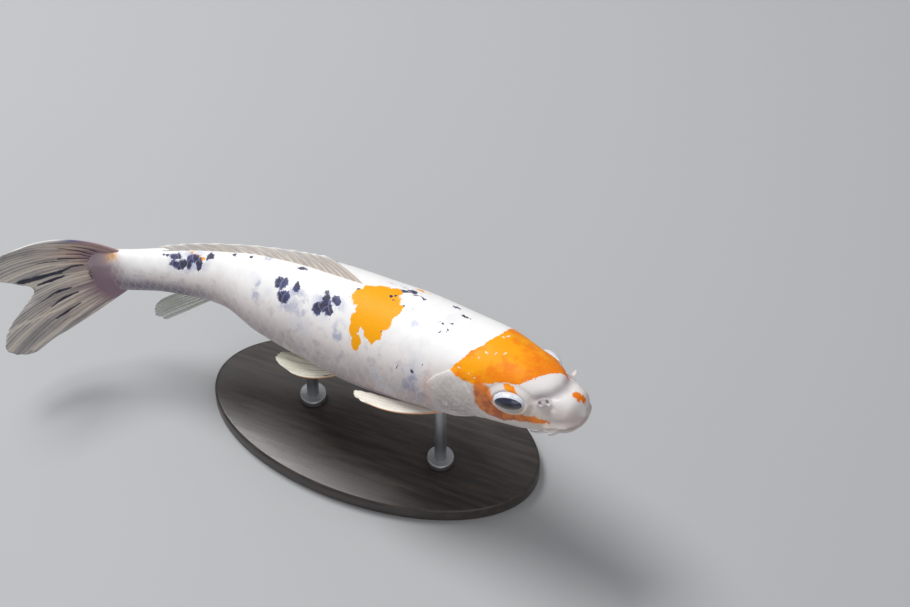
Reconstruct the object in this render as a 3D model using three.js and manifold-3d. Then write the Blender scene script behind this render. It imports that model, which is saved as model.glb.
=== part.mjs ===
// Koi carp: a life-size, still model of a swimming fish on a plain two-rod stand.
// Millimetres, +Z up, +X towards the head, origin under the middle of the stand's base.
// Inside the fish a place is (s, y, z): s runs along the backbone from 0 at the snout to 1 at the
// root of the tail fin, y is to the fish's left and z is up. All three are shares of BODY_LENGTH.

import * as THREE from "three";
import { mergeVertices } from "three/addons/utils/BufferGeometryUtils.js";
import Module from "manifold-3d";

const wasm = await Module();
wasm.setup();

// Driving dimensions.
const BODY_LENGTH = 350; // snout to the root of the tail fin
const GAP = 0.3; // clearance between neighbouring pieces
const FAR = 0.2; // beyond the body on every side, in body lengths
const RIDE_HEIGHT = 118; // floor to the backbone at PIVOT
const PIVOT = 0.45; // share of the body length that hangs over the middle of the stand
const PIVOT_SIDE = 4; // how far the backbone passes to the left of the stand's middle there

// The swimming pose, in degrees.
const PITCH = 8.8; // nose up
const ROLL = -11; // back leaning to the fish's left
const HEAD_TURN = 13; // head turned to the fish's right
const SWEEP = 35.3; // turn gained towards the tail, per squared body length
const SWEEP_START = 0.1; // the skull is straight up to here
const TAIL_CURL = 100; // further turn of the tail fin, per body length behind its root

// Body sections: share along the body, top, bottom, half width, height of the widest level, and
// roundness above that level and below it (1 is an ellipse, less is squarer).
const SECTIONS = [
  [0.0, 0.016, -0.013, 0.017, 0.001, 1, 1],
  [0.006, 0.0305, -0.027, 0.0305, 0, 0.94, 0.94],
  [0.015, 0.04, -0.036, 0.039, 0, 0.9, 0.9],
  [0.05, 0.058, -0.0455, 0.0525, 0, 0.88, 0.88],
  [0.11, 0.0765, -0.0555, 0.068, 0, 0.87, 0.875],
  [0.19, 0.09, -0.071, 0.0832, -0.003, 0.875, 0.88],
  [0.275, 0.0925, -0.0975, 0.0902, -0.01, 0.93, 0.875],
  [0.36, 0.0925, -0.1135, 0.0945, -0.014, 0.945, 0.88],
  [0.46, 0.0895, -0.124, 0.0925, -0.015, 0.975, 0.87],
  [0.58, 0.0895, -0.1085, 0.0845, -0.012, 0.965, 0.91],
  [0.68, 0.0851, -0.085, 0.0705, -0.004, 0.963, 0.96],
  [0.76, 0.0748, -0.047, 0.0462, 0.002, 0.98, 1],
  [0.82, 0.066, -0.0395, 0.04, 0.004, 1, 1],
  [0.89, 0.0544, -0.0405, 0.032, 0.004, 1, 1],
  [0.95, 0.049, -0.046, 0.0245, 0.002, 1, 1],
  [1.0, 0.051, -0.049, 0.017, 0.001, 1, 1],
];
const RINGS = 36; // sections in the body's loft
const SIDES = 24; // corners of each section
const HEAD_DENSITY = 1.35; // above 1 crowds the sections towards the head

// Where the body is parted.
const NAPE = 0.236; // head's hind edge at the middle of the back
const THROAT = 0.206; // head's hind edge under the throat
const GILL_REACH = 0.272; // rearmost point of the gill cover's edge
const GILL_FRONT = 0.178; // front of the gill cover
const GILL_CREST = 0.4; // where the cover is tallest, as a share of its length
const GILL_HEIGHT = 0.074; // half height of the gill cover
const GILL_MIDDLE = -0.012; // height of the gill cover's middle
const GILL_THICKNESS = 0.011;
const STEM_START = 0.76; // trunk to tail stem
const JAW_END = 0.09; // hind end of the lower jaw
const JAW_TOP = -0.026; // height of the lower jaw's upper side

// Eyes, nostrils, lips and barbels.
const EYE = { s: 0.112, y: 0.054, z: 0.0235, radius: 0.0265 };
const NOSTRIL = { s: 0.0535, y: 0.04, z: 0.0335, rise: 0.011, radius: 0.0075 };
const NOSTRIL_TAPER = 0.55;
const LIP_RADIUS = 0.0075;
const LIP_FRONT = 0.004; // how far behind the snout the middle of a lip lies
const UPPER_LIP = { reach: 0.04, half: 0.034, z: -0.008, droop: 0.017 };
const LOWER_LIP = { reach: 0.036, half: 0.03, z: -0.0255, droop: 0.006 };
const BARBELS = [
  { name: "barbel_corner", root: [0.048, 0.035, -0.025], tip: [0.095, 0.043, -0.068], radius: 0.0038 },
  { name: "barbel_lip", root: [0.021, 0.033, -0.013], tip: [0.046, 0.048, -0.033], radius: 0.003 },
];
const BARBEL_TAPER = 0.45;
const BARBEL_BEND = 0.004; // how far a barbel bows outwards at mid length

// Fins: roots and tips from the leading ray to the last, as [s, y, z], and the bow of the first and
// the last ray at mid length. "rise" counts z from the back and "drop" down from the belly.
const FIN_THICKNESS = { root: 0.0085, edge: 0.0023 };
const DORSAL = {
  root: [[0.454, 0, -0.012], [0.84, 0, -0.012]],
  tip: [[0.545, 0, 0.036], [0.6, 0, 0.028], [0.7, 0, 0.018], [0.81, 0, 0.015], [0.89, 0, 0.01]],
  bow: [[0, 0, 0.007], [0, 0, 0]],
  level: "rise",
};
const ANAL = {
  root: [[0.765, 0, -0.012], [0.835, 0, -0.012]],
  tip: [[0.908, 0, 0.08], [0.93, 0, 0.066], [0.926, 0, 0.046], [0.908, 0, 0.027]],
  bow: [[0, 0, 0.004], [0, 0, 0]],
  level: "drop",
};
const TAIL = {
  root: [[0.965, 0, 0.046], [0.985, 0, 0], [0.965, 0, -0.044]],
  tip: [
    [1.14, -0.04, 0.124], [1.205, -0.047, 0.136], [1.242, -0.049, 0.124], [1.222, -0.042, 0.09],
    [1.182, -0.03, 0.045], [1.15, -0.015, -0.003], [1.178, -0.024, -0.024], [1.236, -0.04, -0.046],
    [1.262, -0.047, -0.076], [1.246, -0.047, -0.104], [1.2, -0.041, -0.128], [1.12, -0.026, -0.118],
  ],
  bow: [[0, 0, 0.014], [0, 0, -0.01]],
  level: "axis",
};
const FORK_LEVEL = -0.003; // height of the cut between the tail fin's two lobes
const PECTORAL = {
  root: [[0.258, 0.058, -0.076], [0.284, 0.044, -0.088]],
  tip: [
    [0.4, 0.112, -0.08], [0.428, 0.108, -0.078], [0.434, 0.098, -0.077], [0.41, 0.088, -0.079],
    [0.36, 0.075, -0.086],
  ],
  bow: [[0, 0.012, -0.008], [0, 0.004, 0]],
  level: "axis",
};
const PELVIC = {
  root: [[0.488, 0.046, -0.096], [0.512, 0.03, -0.104]],
  tip: [
    [0.588, 0.083, -0.108], [0.617, 0.08, -0.099], [0.634, 0.069, -0.093], [0.63, 0.053, -0.092],
    [0.6, 0.04, -0.099],
  ],
  bow: [[0, 0.01, -0.007], [0, 0, 0]],
  level: "axis",
};

// The stand.
const BASE = { length: 230, width: 120, height: 12, bevel: 2, corners: 36 };
const ROD = { radius: 4, sides: 16 };
const RODS = [["front", 0.31], ["rear", 0.6]]; // name and share of the body length it stands under
const COLLAR = { radius: 9, height: 6, bevel: 1 };

// A smooth curve through a table, without overshoot.
function smoothTable(xs, ys) {
  const slope = xs.slice(1).map((x, i) => (ys[i + 1] - ys[i]) / (x - xs[i]));
  const tangent = xs.map((x, i) => {
    if (i === 0) return slope[0];
    if (i === xs.length - 1) return slope[i - 1];
    const [a, b] = [slope[i - 1], slope[i]];
    return a * b <= 0 ? 0 : (2 * a * b) / (a + b);
  });
  return (x) => {
    const at = THREE.MathUtils.clamp(x, xs[0], xs[xs.length - 1]);
    let i = 0;
    while (i < xs.length - 2 && at > xs[i + 1]) i++;
    const width = xs[i + 1] - xs[i];
    const t = (at - xs[i]) / width;
    const fromStart = ys[i] + t * t * (3 - 2 * t) * (ys[i + 1] - ys[i]);
    const lean = t * (1 - t) * (1 - t) * tangent[i] - t * t * (1 - t) * tangent[i + 1];
    return fromStart + width * lean;
  };
}

const column = (k) => smoothTable(SECTIONS.map((row) => row[0]), SECTIONS.map((row) => row[k]));
const [topOf, bottomOf, halfOf, levelOf, roundAbove, roundBelow] = [1, 2, 3, 4, 5, 6].map(column);

// The backbone: a table of frames from which place() reads.
const SPINE_STEPS = 260;
const SPINE_SPAN = 1.3;

function heading(s) {
  const bend = SWEEP * Math.max(0, s - SWEEP_START) ** 2;
  return THREE.MathUtils.degToRad(HEAD_TURN - bend - TAIL_CURL * Math.max(0, s - 1));
}

function frameAt(s) {
  const [turn, pitch] = [heading(s), THREE.MathUtils.degToRad(PITCH)];
  const forward = new THREE.Vector3(
    Math.cos(turn) * Math.cos(pitch),
    -Math.sin(turn) * Math.cos(pitch),
    Math.sin(pitch),
  );
  const left = new THREE.Vector3(Math.sin(turn), Math.cos(turn), 0);
  left.applyAxisAngle(forward, THREE.MathUtils.degToRad(ROLL));
  return { forward, left, up: forward.clone().cross(left) };
}

const spinePoints = [new THREE.Vector3()];
for (let i = 1; i <= SPINE_STEPS; i++) {
  const middle = ((i - 0.5) / SPINE_STEPS) * SPINE_SPAN;
  const step = (SPINE_SPAN / SPINE_STEPS) * BODY_LENGTH;
  spinePoints.push(spinePoints[i - 1].clone().addScaledVector(frameAt(middle).forward, -step));
}

function spineAt(s) {
  const i = THREE.MathUtils.clamp((s / SPINE_SPAN) * SPINE_STEPS, 0, SPINE_STEPS - 1e-6);
  const k = Math.floor(i);
  return spinePoints[k].clone().lerp(spinePoints[k + 1], i - k);
}

const toStand = new THREE.Vector3(0, PIVOT_SIDE, RIDE_HEIGHT).sub(spineAt(PIVOT));

// A place inside the fish, (s, y, z) in body lengths, as a point in the part's frame.
function place(s, y, z) {
  const { forward, left, up } = frameAt(s);
  const ahead = Math.min(s, 0) * -BODY_LENGTH;
  return spineAt(s)
    .add(toStand)
    .addScaledVector(forward, ahead)
    .addScaledVector(left, y * BODY_LENGTH)
    .addScaledVector(up, z * BODY_LENGTH);
}

// One corner of a body section, grown outwards by a distance in millimetres.
function sectionPoint(s, angle, grow) {
  const more = grow / BODY_LENGTH;
  const level = levelOf(s);
  const above = Math.sin(angle) > 0;
  const reach = above ? topOf(s) - level : level - bottomOf(s);
  const roundness = above ? roundAbove(s) : roundBelow(s);
  const squared = (value) => Math.sign(value) * Math.abs(value) ** roundness;
  const y = (halfOf(s) + more) * squared(Math.cos(angle));
  return place(s, y, level + (reach + more) * squared(Math.sin(angle)));
}

// Closed skin over rings of points, each end capped by a fan.
function loft(rings) {
  const sides = rings[0].length;
  const points = rings.flat();
  const middle = (ring) => ring.reduce((sum, p) => sum.add(p), new THREE.Vector3()).divideScalar(sides);
  points.push(middle(rings[0]), middle(rings[rings.length - 1]));
  const [first, last] = [points.length - 2, points.length - 1];
  const faces = [];
  for (let k = 0; k < sides; k++) {
    const next = (k + 1) % sides;
    const end = (rings.length - 1) * sides;
    faces.push(first, k, next, last, end + next, end + k);
    for (let i = 0; i < rings.length - 1; i++) {
      const [a, b] = [i * sides + k, i * sides + next];
      faces.push(a, a + sides, b + sides, a, b + sides, b);
    }
  }
  return new THREE.BufferGeometry().setFromPoints(points).setIndex(faces);
}

// A geometry as a manifold-3d solid, facing outwards.
function solid(geometry) {
  const bare = geometry.index ? geometry.clone() : geometry;
  ["normal", "uv"].forEach((name) => bare.deleteAttribute(name));
  const merged = mergeVertices(bare, 1e-4);
  const made = (order) => {
    const triVerts = new Uint32Array(merged.index.array);
    for (let i = 0; order && i < triVerts.length; i += 3) {
      [triVerts[i + 1], triVerts[i + 2]] = [triVerts[i + 2], triVerts[i + 1]];
    }
    const vertProperties = merged.attributes.position.array;
    return new wasm.Manifold(new wasm.Mesh({ numProp: 3, vertProperties, triVerts }));
  };
  const first = made(false);
  return first.volume() < 0 ? made(true) : first;
}

const largest = (manifold) =>
  manifold.decompose().reduce((best, part) => (part.volume() > best.volume() ? part : best));

// The whole body, grown by a distance in millimetres.
function bodySolid(grow) {
  const rings = [];
  for (let i = 0; i <= RINGS; i++) {
    const s = (i / RINGS) ** HEAD_DENSITY;
    const outwards = (i === 0) - (i === RINGS);
    const endShift = frameAt(s).forward.multiplyScalar(grow * outwards);
    const ring = [];
    for (let k = 0; k < SIDES; k++) {
      ring.push(sectionPoint(s, (k / SIDES) * 2 * Math.PI, grow).add(endShift));
    }
    rings.push(ring);
  }
  return solid(loft(rings));
}

// A slab through the fish, cut by an outline of [s, z] pairs seen from the side.
function sideCut(outline, fromY, toY) {
  const ring = (y) => outline.map(([s, z]) => place(s, y, z));
  return solid(loft([ring(fromY), ring(toY)]));
}

// The gill cover seen from the side, grown by a share of the body length.
function gillOutline(grow) {
  const corners = 18;
  const points = [];
  for (let i = 0; i < corners; i++) {
    const angle = (i / corners) * 2 * Math.PI;
    const reach = GILL_CREST + (Math.cos(angle) > 0 ? 1 - GILL_CREST : GILL_CREST) * Math.cos(angle);
    const s = GILL_FRONT + (GILL_REACH - GILL_FRONT) * reach;
    const z = GILL_MIDDLE + GILL_HEIGHT * Math.sin(angle);
    points.push([s + grow * Math.cos(angle), z + grow * Math.sin(angle)]);
  }
  return points;
}

// Everything ahead of the head's hind edge: the nape above, the throat below, bowed back between.
function headOutline(grow) {
  const steps = 14;
  const points = [[-FAR, FAR], [-FAR, -FAR]];
  for (let i = 0; i <= steps; i++) {
    const z = FAR * ((2 * i) / steps - 1);
    const bow = Math.exp(-(((z - GILL_MIDDLE) / GILL_HEIGHT) ** 2));
    const edge = z > GILL_MIDDLE ? NAPE : THROAT;
    points.push([edge + (GILL_REACH - edge) * bow + grow, z]);
  }
  return points;
}

const boxOutline = (from, to, low, high) => [[from, high], [from, low], [to, low], [to, high]];

// A fin as a sheet of rays: point(u, v) has u along the fin's root and v along a ray.
function finSheet(fin, side) {
  const rows = (points) => {
    const us = points.map((p, i) => i / (points.length - 1));
    return [0, 1, 2].map((k) => smoothTable(us, points.map((p) => p[k])));
  };
  const [root, tip, bow] = [rows(fin.root), rows(fin.tip), rows(fin.bow)];
  const base = { rise: topOf, drop: bottomOf, axis: () => 0 }[fin.level];
  const sign = fin.level === "drop" ? -1 : 1;
  return (u, v) => {
    const arch = 4 * v * (1 - v);
    const along = (k) => THREE.MathUtils.lerp(root[k](u), tip[k](u), v) + arch * bow[k](u);
    const s = along(0);
    return place(s, side * along(1), base(s) + sign * along(2));
  };
}

// A sheet as a closed solid, thicker at its root than at its edge.
function finSolid(sheet, across, along) {
  const step = 0.01;
  const half = (v) => THREE.MathUtils.lerp(FIN_THICKNESS.root, FIN_THICKNESS.edge, v) * (BODY_LENGTH / 2);
  const face = (way) => (u, v) => {
    const du = sheet(Math.min(1, u + step), v).sub(sheet(Math.max(0, u - step), v));
    const dv = sheet(u, v + step).sub(sheet(u, v - step));
    return sheet(u, v).addScaledVector(du.cross(dv).normalize(), way * half(v));
  };
  const rings = [];
  for (let j = 0; j <= along; j++) {
    const v = j / along;
    const ring = [];
    for (let i = 0; i <= across; i++) ring.push(face(1)(i / across, v));
    for (let i = across; i >= 0; i--) ring.push(face(-1)(i / across, v));
    rings.push(ring);
  }
  return solid(strip(rings));
}

// Like loft(), but each end is closed flat across the sheet's two faces.
function strip(rings) {
  const sides = rings[0].length;
  const faces = [];
  for (let i = 0; i < rings.length - 1; i++) {
    for (let k = 0; k < sides; k++) {
      const [a, b] = [i * sides + k, i * sides + ((k + 1) % sides)];
      faces.push(a, a + sides, b + sides, a, b + sides, b);
    }
  }
  const end = (rings.length - 1) * sides;
  for (let k = 0; k < sides / 2 - 1; k++) {
    const [a, b, c, d] = [k, k + 1, sides - 2 - k, sides - 1 - k];
    faces.push(a, b, c, a, c, d, end + a, end + c, end + b, end + a, end + d, end + c);
  }
  return new THREE.BufferGeometry().setFromPoints(rings.flat()).setIndex(faces);
}

// A round bar along points in the fish, tapering from one radius to another.
function bar(points, fromRadius, toRadius, sides = 8) {
  const curve = new THREE.CatmullRomCurve3(points.map(([s, y, z]) => place(s, y, z)));
  const steps = 6;
  const frames = curve.computeFrenetFrames(steps);
  const rings = [];
  for (let i = 0; i <= steps; i++) {
    const radius = THREE.MathUtils.lerp(fromRadius, toRadius, i / steps) * BODY_LENGTH;
    const ring = [];
    for (let k = 0; k < sides; k++) {
      const angle = (k / sides) * 2 * Math.PI;
      const across = frames.normals[i].clone().multiplyScalar(radius * Math.cos(angle));
      across.addScaledVector(frames.binormals[i], radius * Math.sin(angle));
      ring.push(curve.getPoint(i / steps).add(across));
    }
    rings.push(ring);
  }
  return solid(loft(rings));
}

function ball({ s, y, z, radius }, side, grow = 0) {
  const shape = new THREE.SphereGeometry(radius * BODY_LENGTH + grow, 14, 10);
  const centre = place(s, side * y, z);
  return solid(shape.translate(centre.x, centre.y, centre.z));
}

// A lip's bow: round the snout from one corner of the mouth to the other.
function lip({ reach, half, z, droop }, grow = 0) {
  const points = [];
  for (let i = 0; i <= 8; i++) {
    const angle = (i / 8 - 0.5) * Math.PI;
    const s = LIP_FRONT + reach * (1 - Math.cos(angle));
    points.push([s, half * Math.sin(angle), z - droop * Math.abs(Math.sin(angle))]);
  }
  const radius = LIP_RADIUS + grow / BODY_LENGTH;
  return bar(points, radius, radius, 10);
}

const skinWhite = new THREE.MeshStandardMaterial({ color: 0xefeae6, roughness: 0.35, metalness: 0 });
const headOrange = new THREE.MeshStandardMaterial({ color: 0xf08a18, roughness: 0.3, metalness: 0 });
const finPale = new THREE.MeshStandardMaterial({ color: 0xcfccc4, roughness: 0.4, metalness: 0 });
const eyeDark = new THREE.MeshStandardMaterial({ color: 0x15171f, roughness: 0.08, metalness: 0 });
const standWood = new THREE.MeshStandardMaterial({ color: 0x2b2a2a, roughness: 0.5, metalness: 0 });
const steel = new THREE.MeshStandardMaterial({ color: 0xb4b6b8, roughness: 0.3, metalness: 1 });

const koi = new THREE.Group();

function add(name, manifold, material) {
  const kept = largest(manifold);
  const { numProp, vertProperties, triVerts, numVert } = kept.getMesh();
  const xyz = new Float32Array(numVert * 3);
  for (let i = 0; i < numVert; i++) xyz.set(vertProperties.subarray(i * numProp, i * numProp + 3), i * 3);
  const geometry = new THREE.BufferGeometry()
    .setAttribute("position", new THREE.BufferAttribute(xyz, 3))
    .setIndex(new THREE.BufferAttribute(triVerts, 1));
  const mesh = new THREE.Mesh(geometry, material);
  mesh.name = name;
  koi.add(mesh);
}

const SIDE_NAMES = [["left", 1], ["right", -1]];
const gapShare = GAP / BODY_LENGTH;
const body = bodySolid(0);
const bodyAndGap = bodySolid(GAP);

// Head, gill covers, lower jaw and lips.
function addHead() {
  const skullBlock = body.intersect(sideCut(headOutline(0), -FAR, FAR));
  const jawOutline = (grow) => boxOutline(-FAR, JAW_END + grow, -FAR, JAW_TOP + grow);
  const jawBlock = (grow) => sideCut(jawOutline(grow), -FAR, FAR);
  const upperLip = lip(UPPER_LIP);
  const lowerLip = lip(LOWER_LIP);
  let skull = skullBlock.subtract(jawBlock(gapShare));
  let jaw = skullBlock.intersect(jawBlock(0));
  const barbels = [];
  for (const [side, way] of SIDE_NAMES) {
    const cover = (grow) => sideCut(gillOutline(grow), 0, way * FAR);
    const core = (depth) => bodySolid(-depth * BODY_LENGTH);
    const plate = skullBlock.intersect(cover(0)).subtract(core(GILL_THICKNESS));
    skull = skull.subtract(cover(gapShare).subtract(core(GILL_THICKNESS + gapShare)));
    skull = skull.subtract(ball(EYE, way, GAP));
    add("gill_cover_" + side, plate, skinWhite);
    add("eye_" + side, ball(EYE, way), eyeDark);
    for (const { name, root, tip, radius } of BARBELS) {
      const point = ([s, y, z]) => [s, way * y, z];
      const bend = root.map((value, k) => (value + tip[k]) / 2 + (k === 1 ? BARBEL_BEND : 0));
      const shape = bar([point(root), point(bend), point(tip)], radius, radius * BARBEL_TAPER);
      barbels.push([name + "_" + side, shape]);
    }
    addNostril(side, way);
  }
  const lips = [lip(UPPER_LIP, GAP), lip(LOWER_LIP, GAP)];
  for (const shape of lips) {
    skull = skull.subtract(shape);
    jaw = jaw.subtract(shape);
  }
  add("head", skull, headOrange);
  add("lower_jaw", jaw, skinWhite);
  add("upper_lip", upperLip, skinWhite);
  add("lower_lip", lowerLip.subtract(lips[0]), skinWhite);
  for (const [name, shape] of barbels) {
    add(name, shape.subtract(bodyAndGap).subtract(lips[0]).subtract(lips[1]), skinWhite);
  }
}

// The skin flap that stands between a nostril's two openings.
function addNostril(side, way) {
  const { s, y, z, rise, radius } = NOSTRIL;
  const crest = [s - rise / 3, way * (y + rise), z + rise];
  const flap = bar([[s, way * y, z], crest], radius, radius * NOSTRIL_TAPER);
  add("nostril_flap_" + side, flap.subtract(bodyAndGap), skinWhite);
}

// Trunk and tail stem.
function addTrunk() {
  const behindHead = body.subtract(sideCut(headOutline(gapShare), -FAR, FAR));
  const front = (to) => sideCut(boxOutline(-FAR, to, -FAR, FAR), -FAR, FAR);
  add("trunk", behindHead.intersect(front(STEM_START)), skinWhite);
  add("tail_stem", behindHead.subtract(front(STEM_START + gapShare)), skinWhite);
}

function addFins() {
  const fin = (name, shape, side, across, along) =>
    add(name, finSolid(finSheet(shape, side), across, along).subtract(bodyAndGap), finPale);
  fin("dorsal_fin", DORSAL, 1, 14, 4);
  fin("anal_fin", ANAL, 1, 7, 4);
  const tail = finSolid(finSheet(TAIL, 1), 22, 5).subtract(bodyAndGap);
  const above = (z) => sideCut(boxOutline(STEM_START, SPINE_SPAN, z, FAR), -FAR, FAR);
  add("tail_fin_upper", tail.intersect(above(FORK_LEVEL + gapShare)), finPale);
  add("tail_fin_lower", tail.subtract(above(FORK_LEVEL)), finPale);
  for (const [side, way] of SIDE_NAMES) {
    fin("pectoral_fin_" + side, PECTORAL, way, 7, 6);
    fin("pelvic_fin_" + side, PELVIC, way, 7, 5);
  }
}

function addStand() {
  const outline = new THREE.Shape();
  outline.absellipse(0, 0, BASE.length / 2 - BASE.bevel, BASE.width / 2 - BASE.bevel, 0, 2 * Math.PI);
  const plate = new THREE.ExtrudeGeometry(outline, {
    depth: BASE.height - 2 * BASE.bevel,
    bevelThickness: BASE.bevel,
    bevelSize: BASE.bevel,
    bevelSegments: 1,
    curveSegments: BASE.corners,
  });
  add("stand_base", solid(plate.translate(0, 0, BASE.bevel)), standWood);
  const foot = BASE.height + GAP;
  for (const [name, s] of RODS) {
    const keel = place(s, 0, bottomOf(s));
    const tall = keel.z + ROD.radius - foot;
    const rod = new THREE.CylinderGeometry(ROD.radius, ROD.radius, tall, ROD.sides);
    rod.rotateX(Math.PI / 2).translate(keel.x, keel.y, foot + tall / 2);
    add("stand_rod_" + name, solid(rod).subtract(bodyAndGap), steel);
    const inner = ROD.radius + GAP;
    const profile = [
      [inner, 0],
      [COLLAR.radius, 0],
      [COLLAR.radius, COLLAR.height - COLLAR.bevel],
      [COLLAR.radius - COLLAR.bevel, COLLAR.height],
      [inner, COLLAR.height],
      [inner, 0],
    ];
    const ring = new THREE.LatheGeometry(profile.map(([r, z]) => new THREE.Vector2(r, z)), ROD.sides);
    ring.rotateX(Math.PI / 2).translate(keel.x, keel.y, foot);
    add("stand_collar_" + name, solid(ring), steel);
  }
}

addHead();
addTrunk();
addFins();
addStand();

export default koi;
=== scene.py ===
"""A koi carp as a life-size display model: skin, scales, eyes and fins, its stand and a stage."""
import math
from functools import partial, reduce

import bpy
import numpy as np
from mathutils import Matrix, Vector


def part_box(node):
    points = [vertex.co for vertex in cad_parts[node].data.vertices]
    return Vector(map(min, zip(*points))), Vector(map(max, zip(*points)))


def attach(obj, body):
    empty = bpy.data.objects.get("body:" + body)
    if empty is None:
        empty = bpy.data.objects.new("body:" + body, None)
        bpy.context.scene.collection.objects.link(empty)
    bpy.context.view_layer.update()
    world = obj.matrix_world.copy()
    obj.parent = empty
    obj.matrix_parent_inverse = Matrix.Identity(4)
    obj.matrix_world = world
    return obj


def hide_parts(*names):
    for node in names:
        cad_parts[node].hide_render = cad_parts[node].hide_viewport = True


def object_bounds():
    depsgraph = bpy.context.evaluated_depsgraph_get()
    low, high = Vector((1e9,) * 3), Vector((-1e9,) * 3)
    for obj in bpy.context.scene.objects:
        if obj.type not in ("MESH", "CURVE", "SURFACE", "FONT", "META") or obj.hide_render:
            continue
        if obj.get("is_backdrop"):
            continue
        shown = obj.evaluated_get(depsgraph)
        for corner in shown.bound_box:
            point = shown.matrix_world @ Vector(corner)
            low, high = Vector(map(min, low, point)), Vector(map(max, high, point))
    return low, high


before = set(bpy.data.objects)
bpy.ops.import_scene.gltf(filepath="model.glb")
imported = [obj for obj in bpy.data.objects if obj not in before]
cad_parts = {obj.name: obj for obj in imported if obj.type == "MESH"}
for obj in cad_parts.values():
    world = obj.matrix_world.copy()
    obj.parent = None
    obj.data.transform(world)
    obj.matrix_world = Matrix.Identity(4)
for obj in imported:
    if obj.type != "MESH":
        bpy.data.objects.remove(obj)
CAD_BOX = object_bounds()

bl_info = {
    "name": "Koi carp on a stand",
    "version": (1, 0, 0),
    "blender": (4, 5, 0),
    "location": "3D View > Sidebar > Koi",
    "description": "Models a life-size koi carp in solid scales, with its display stand",
    "category": "Add Mesh",
}

# Inside the fish a place is (s, y, z) in body lengths: s runs along the backbone from 0 at the
# snout to 1 at the root of the tail fin, y is to the fish's left and z is up. On its surface a
# place is also (s, w), with w the way round from the middle of the back, plus to the left.
MM = 0.001
BODY = 0.350
# The s that lies over the base's middle, how far it lies to the left of it, and how high.
PIVOT, PIVOT_SIDE, RIDE_HEIGHT = 0.45, 0.004, 0.118
# The pose, in degrees: nose up, back leaning, head turned; the body's bend grows with the square of
# the way behind its start, and the tail fin curls on in proportion.
PITCH, ROLL, HEAD_TURN = 8.8, -11.0, 13.0
SWEEP, SWEEP_START, TAIL_CURL = 35.3, 0.1, 100.0

# s, top, bottom, half width, widest level, roundness above it and below it.
SECTIONS = np.array([
    [0.0, 0.016, -0.013, 0.017, 0.001, 1, 1], [0.006, 0.0305, -0.027, 0.0305, 0, 0.94, 0.94],
    [0.015, 0.04, -0.036, 0.039, 0, 0.9, 0.9], [0.05, 0.058, -0.0455, 0.0525, 0, 0.88, 0.88],
    [0.11, 0.0765, -0.0555, 0.068, 0, 0.87, 0.875], [0.19, 0.09, -0.071, 0.0832, -0.003, 0.875, 0.88],
    [0.275, 0.0925, -0.0975, 0.0902, -0.01, 0.93, 0.875],
    [0.36, 0.0925, -0.1135, 0.0945, -0.014, 0.945, 0.88],
    [0.46, 0.0895, -0.124, 0.0925, -0.015, 0.975, 0.87],
    [0.58, 0.0895, -0.1085, 0.0845, -0.012, 0.965, 0.91],
    [0.68, 0.0851, -0.085, 0.0705, -0.004, 0.963, 0.96], [0.76, 0.0748, -0.047, 0.0462, 0.002, 0.98, 1],
    [0.82, 0.066, -0.0395, 0.04, 0.004, 1, 1], [0.89, 0.0544, -0.0405, 0.032, 0.004, 1, 1],
    [0.95, 0.049, -0.046, 0.0245, 0.002, 1, 1], [1.0, 0.051, -0.049, 0.017, 0.001, 1, 1],
])
SIDES = (("left", 1), ("right", -1))
EYE = {"s": 0.112, "y": 0.0637, "z": 0.0283}
EYE_AXIS = (0.34, 0.95, -0.13)  # ahead, outwards and up
EYE_SIZE = (10.2, 6.1, 4.9)  # half length, half height and half depth, in millimetres
CORNEA = (0.05, 26)  # how far it bulges, as a share of the ball, and how wide, in degrees
PUPIL, IRIS = 27, 57  # degrees from the eye's axis to the edge of each
# Millimetres from the eye's middle: where its lids stand highest, the outside and the inside of
# their pale edge, and where the work round the eye has died away.
LID_CREST, LID_EDGE, LID_REACH = 11.2, (11.3, 10.8), 20
NOSTRIL = (0.0535, 0.0520)  # s and w
BARBELS = [
    {"root": (0.050, 0.038, -0.028), "tip": (0.092, 0.030, -0.056), "radius": 0.0032},
    {"root": (0.022, 0.032, -0.016), "tip": (0.046, 0.040, -0.036), "radius": 0.0024},
]
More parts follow.
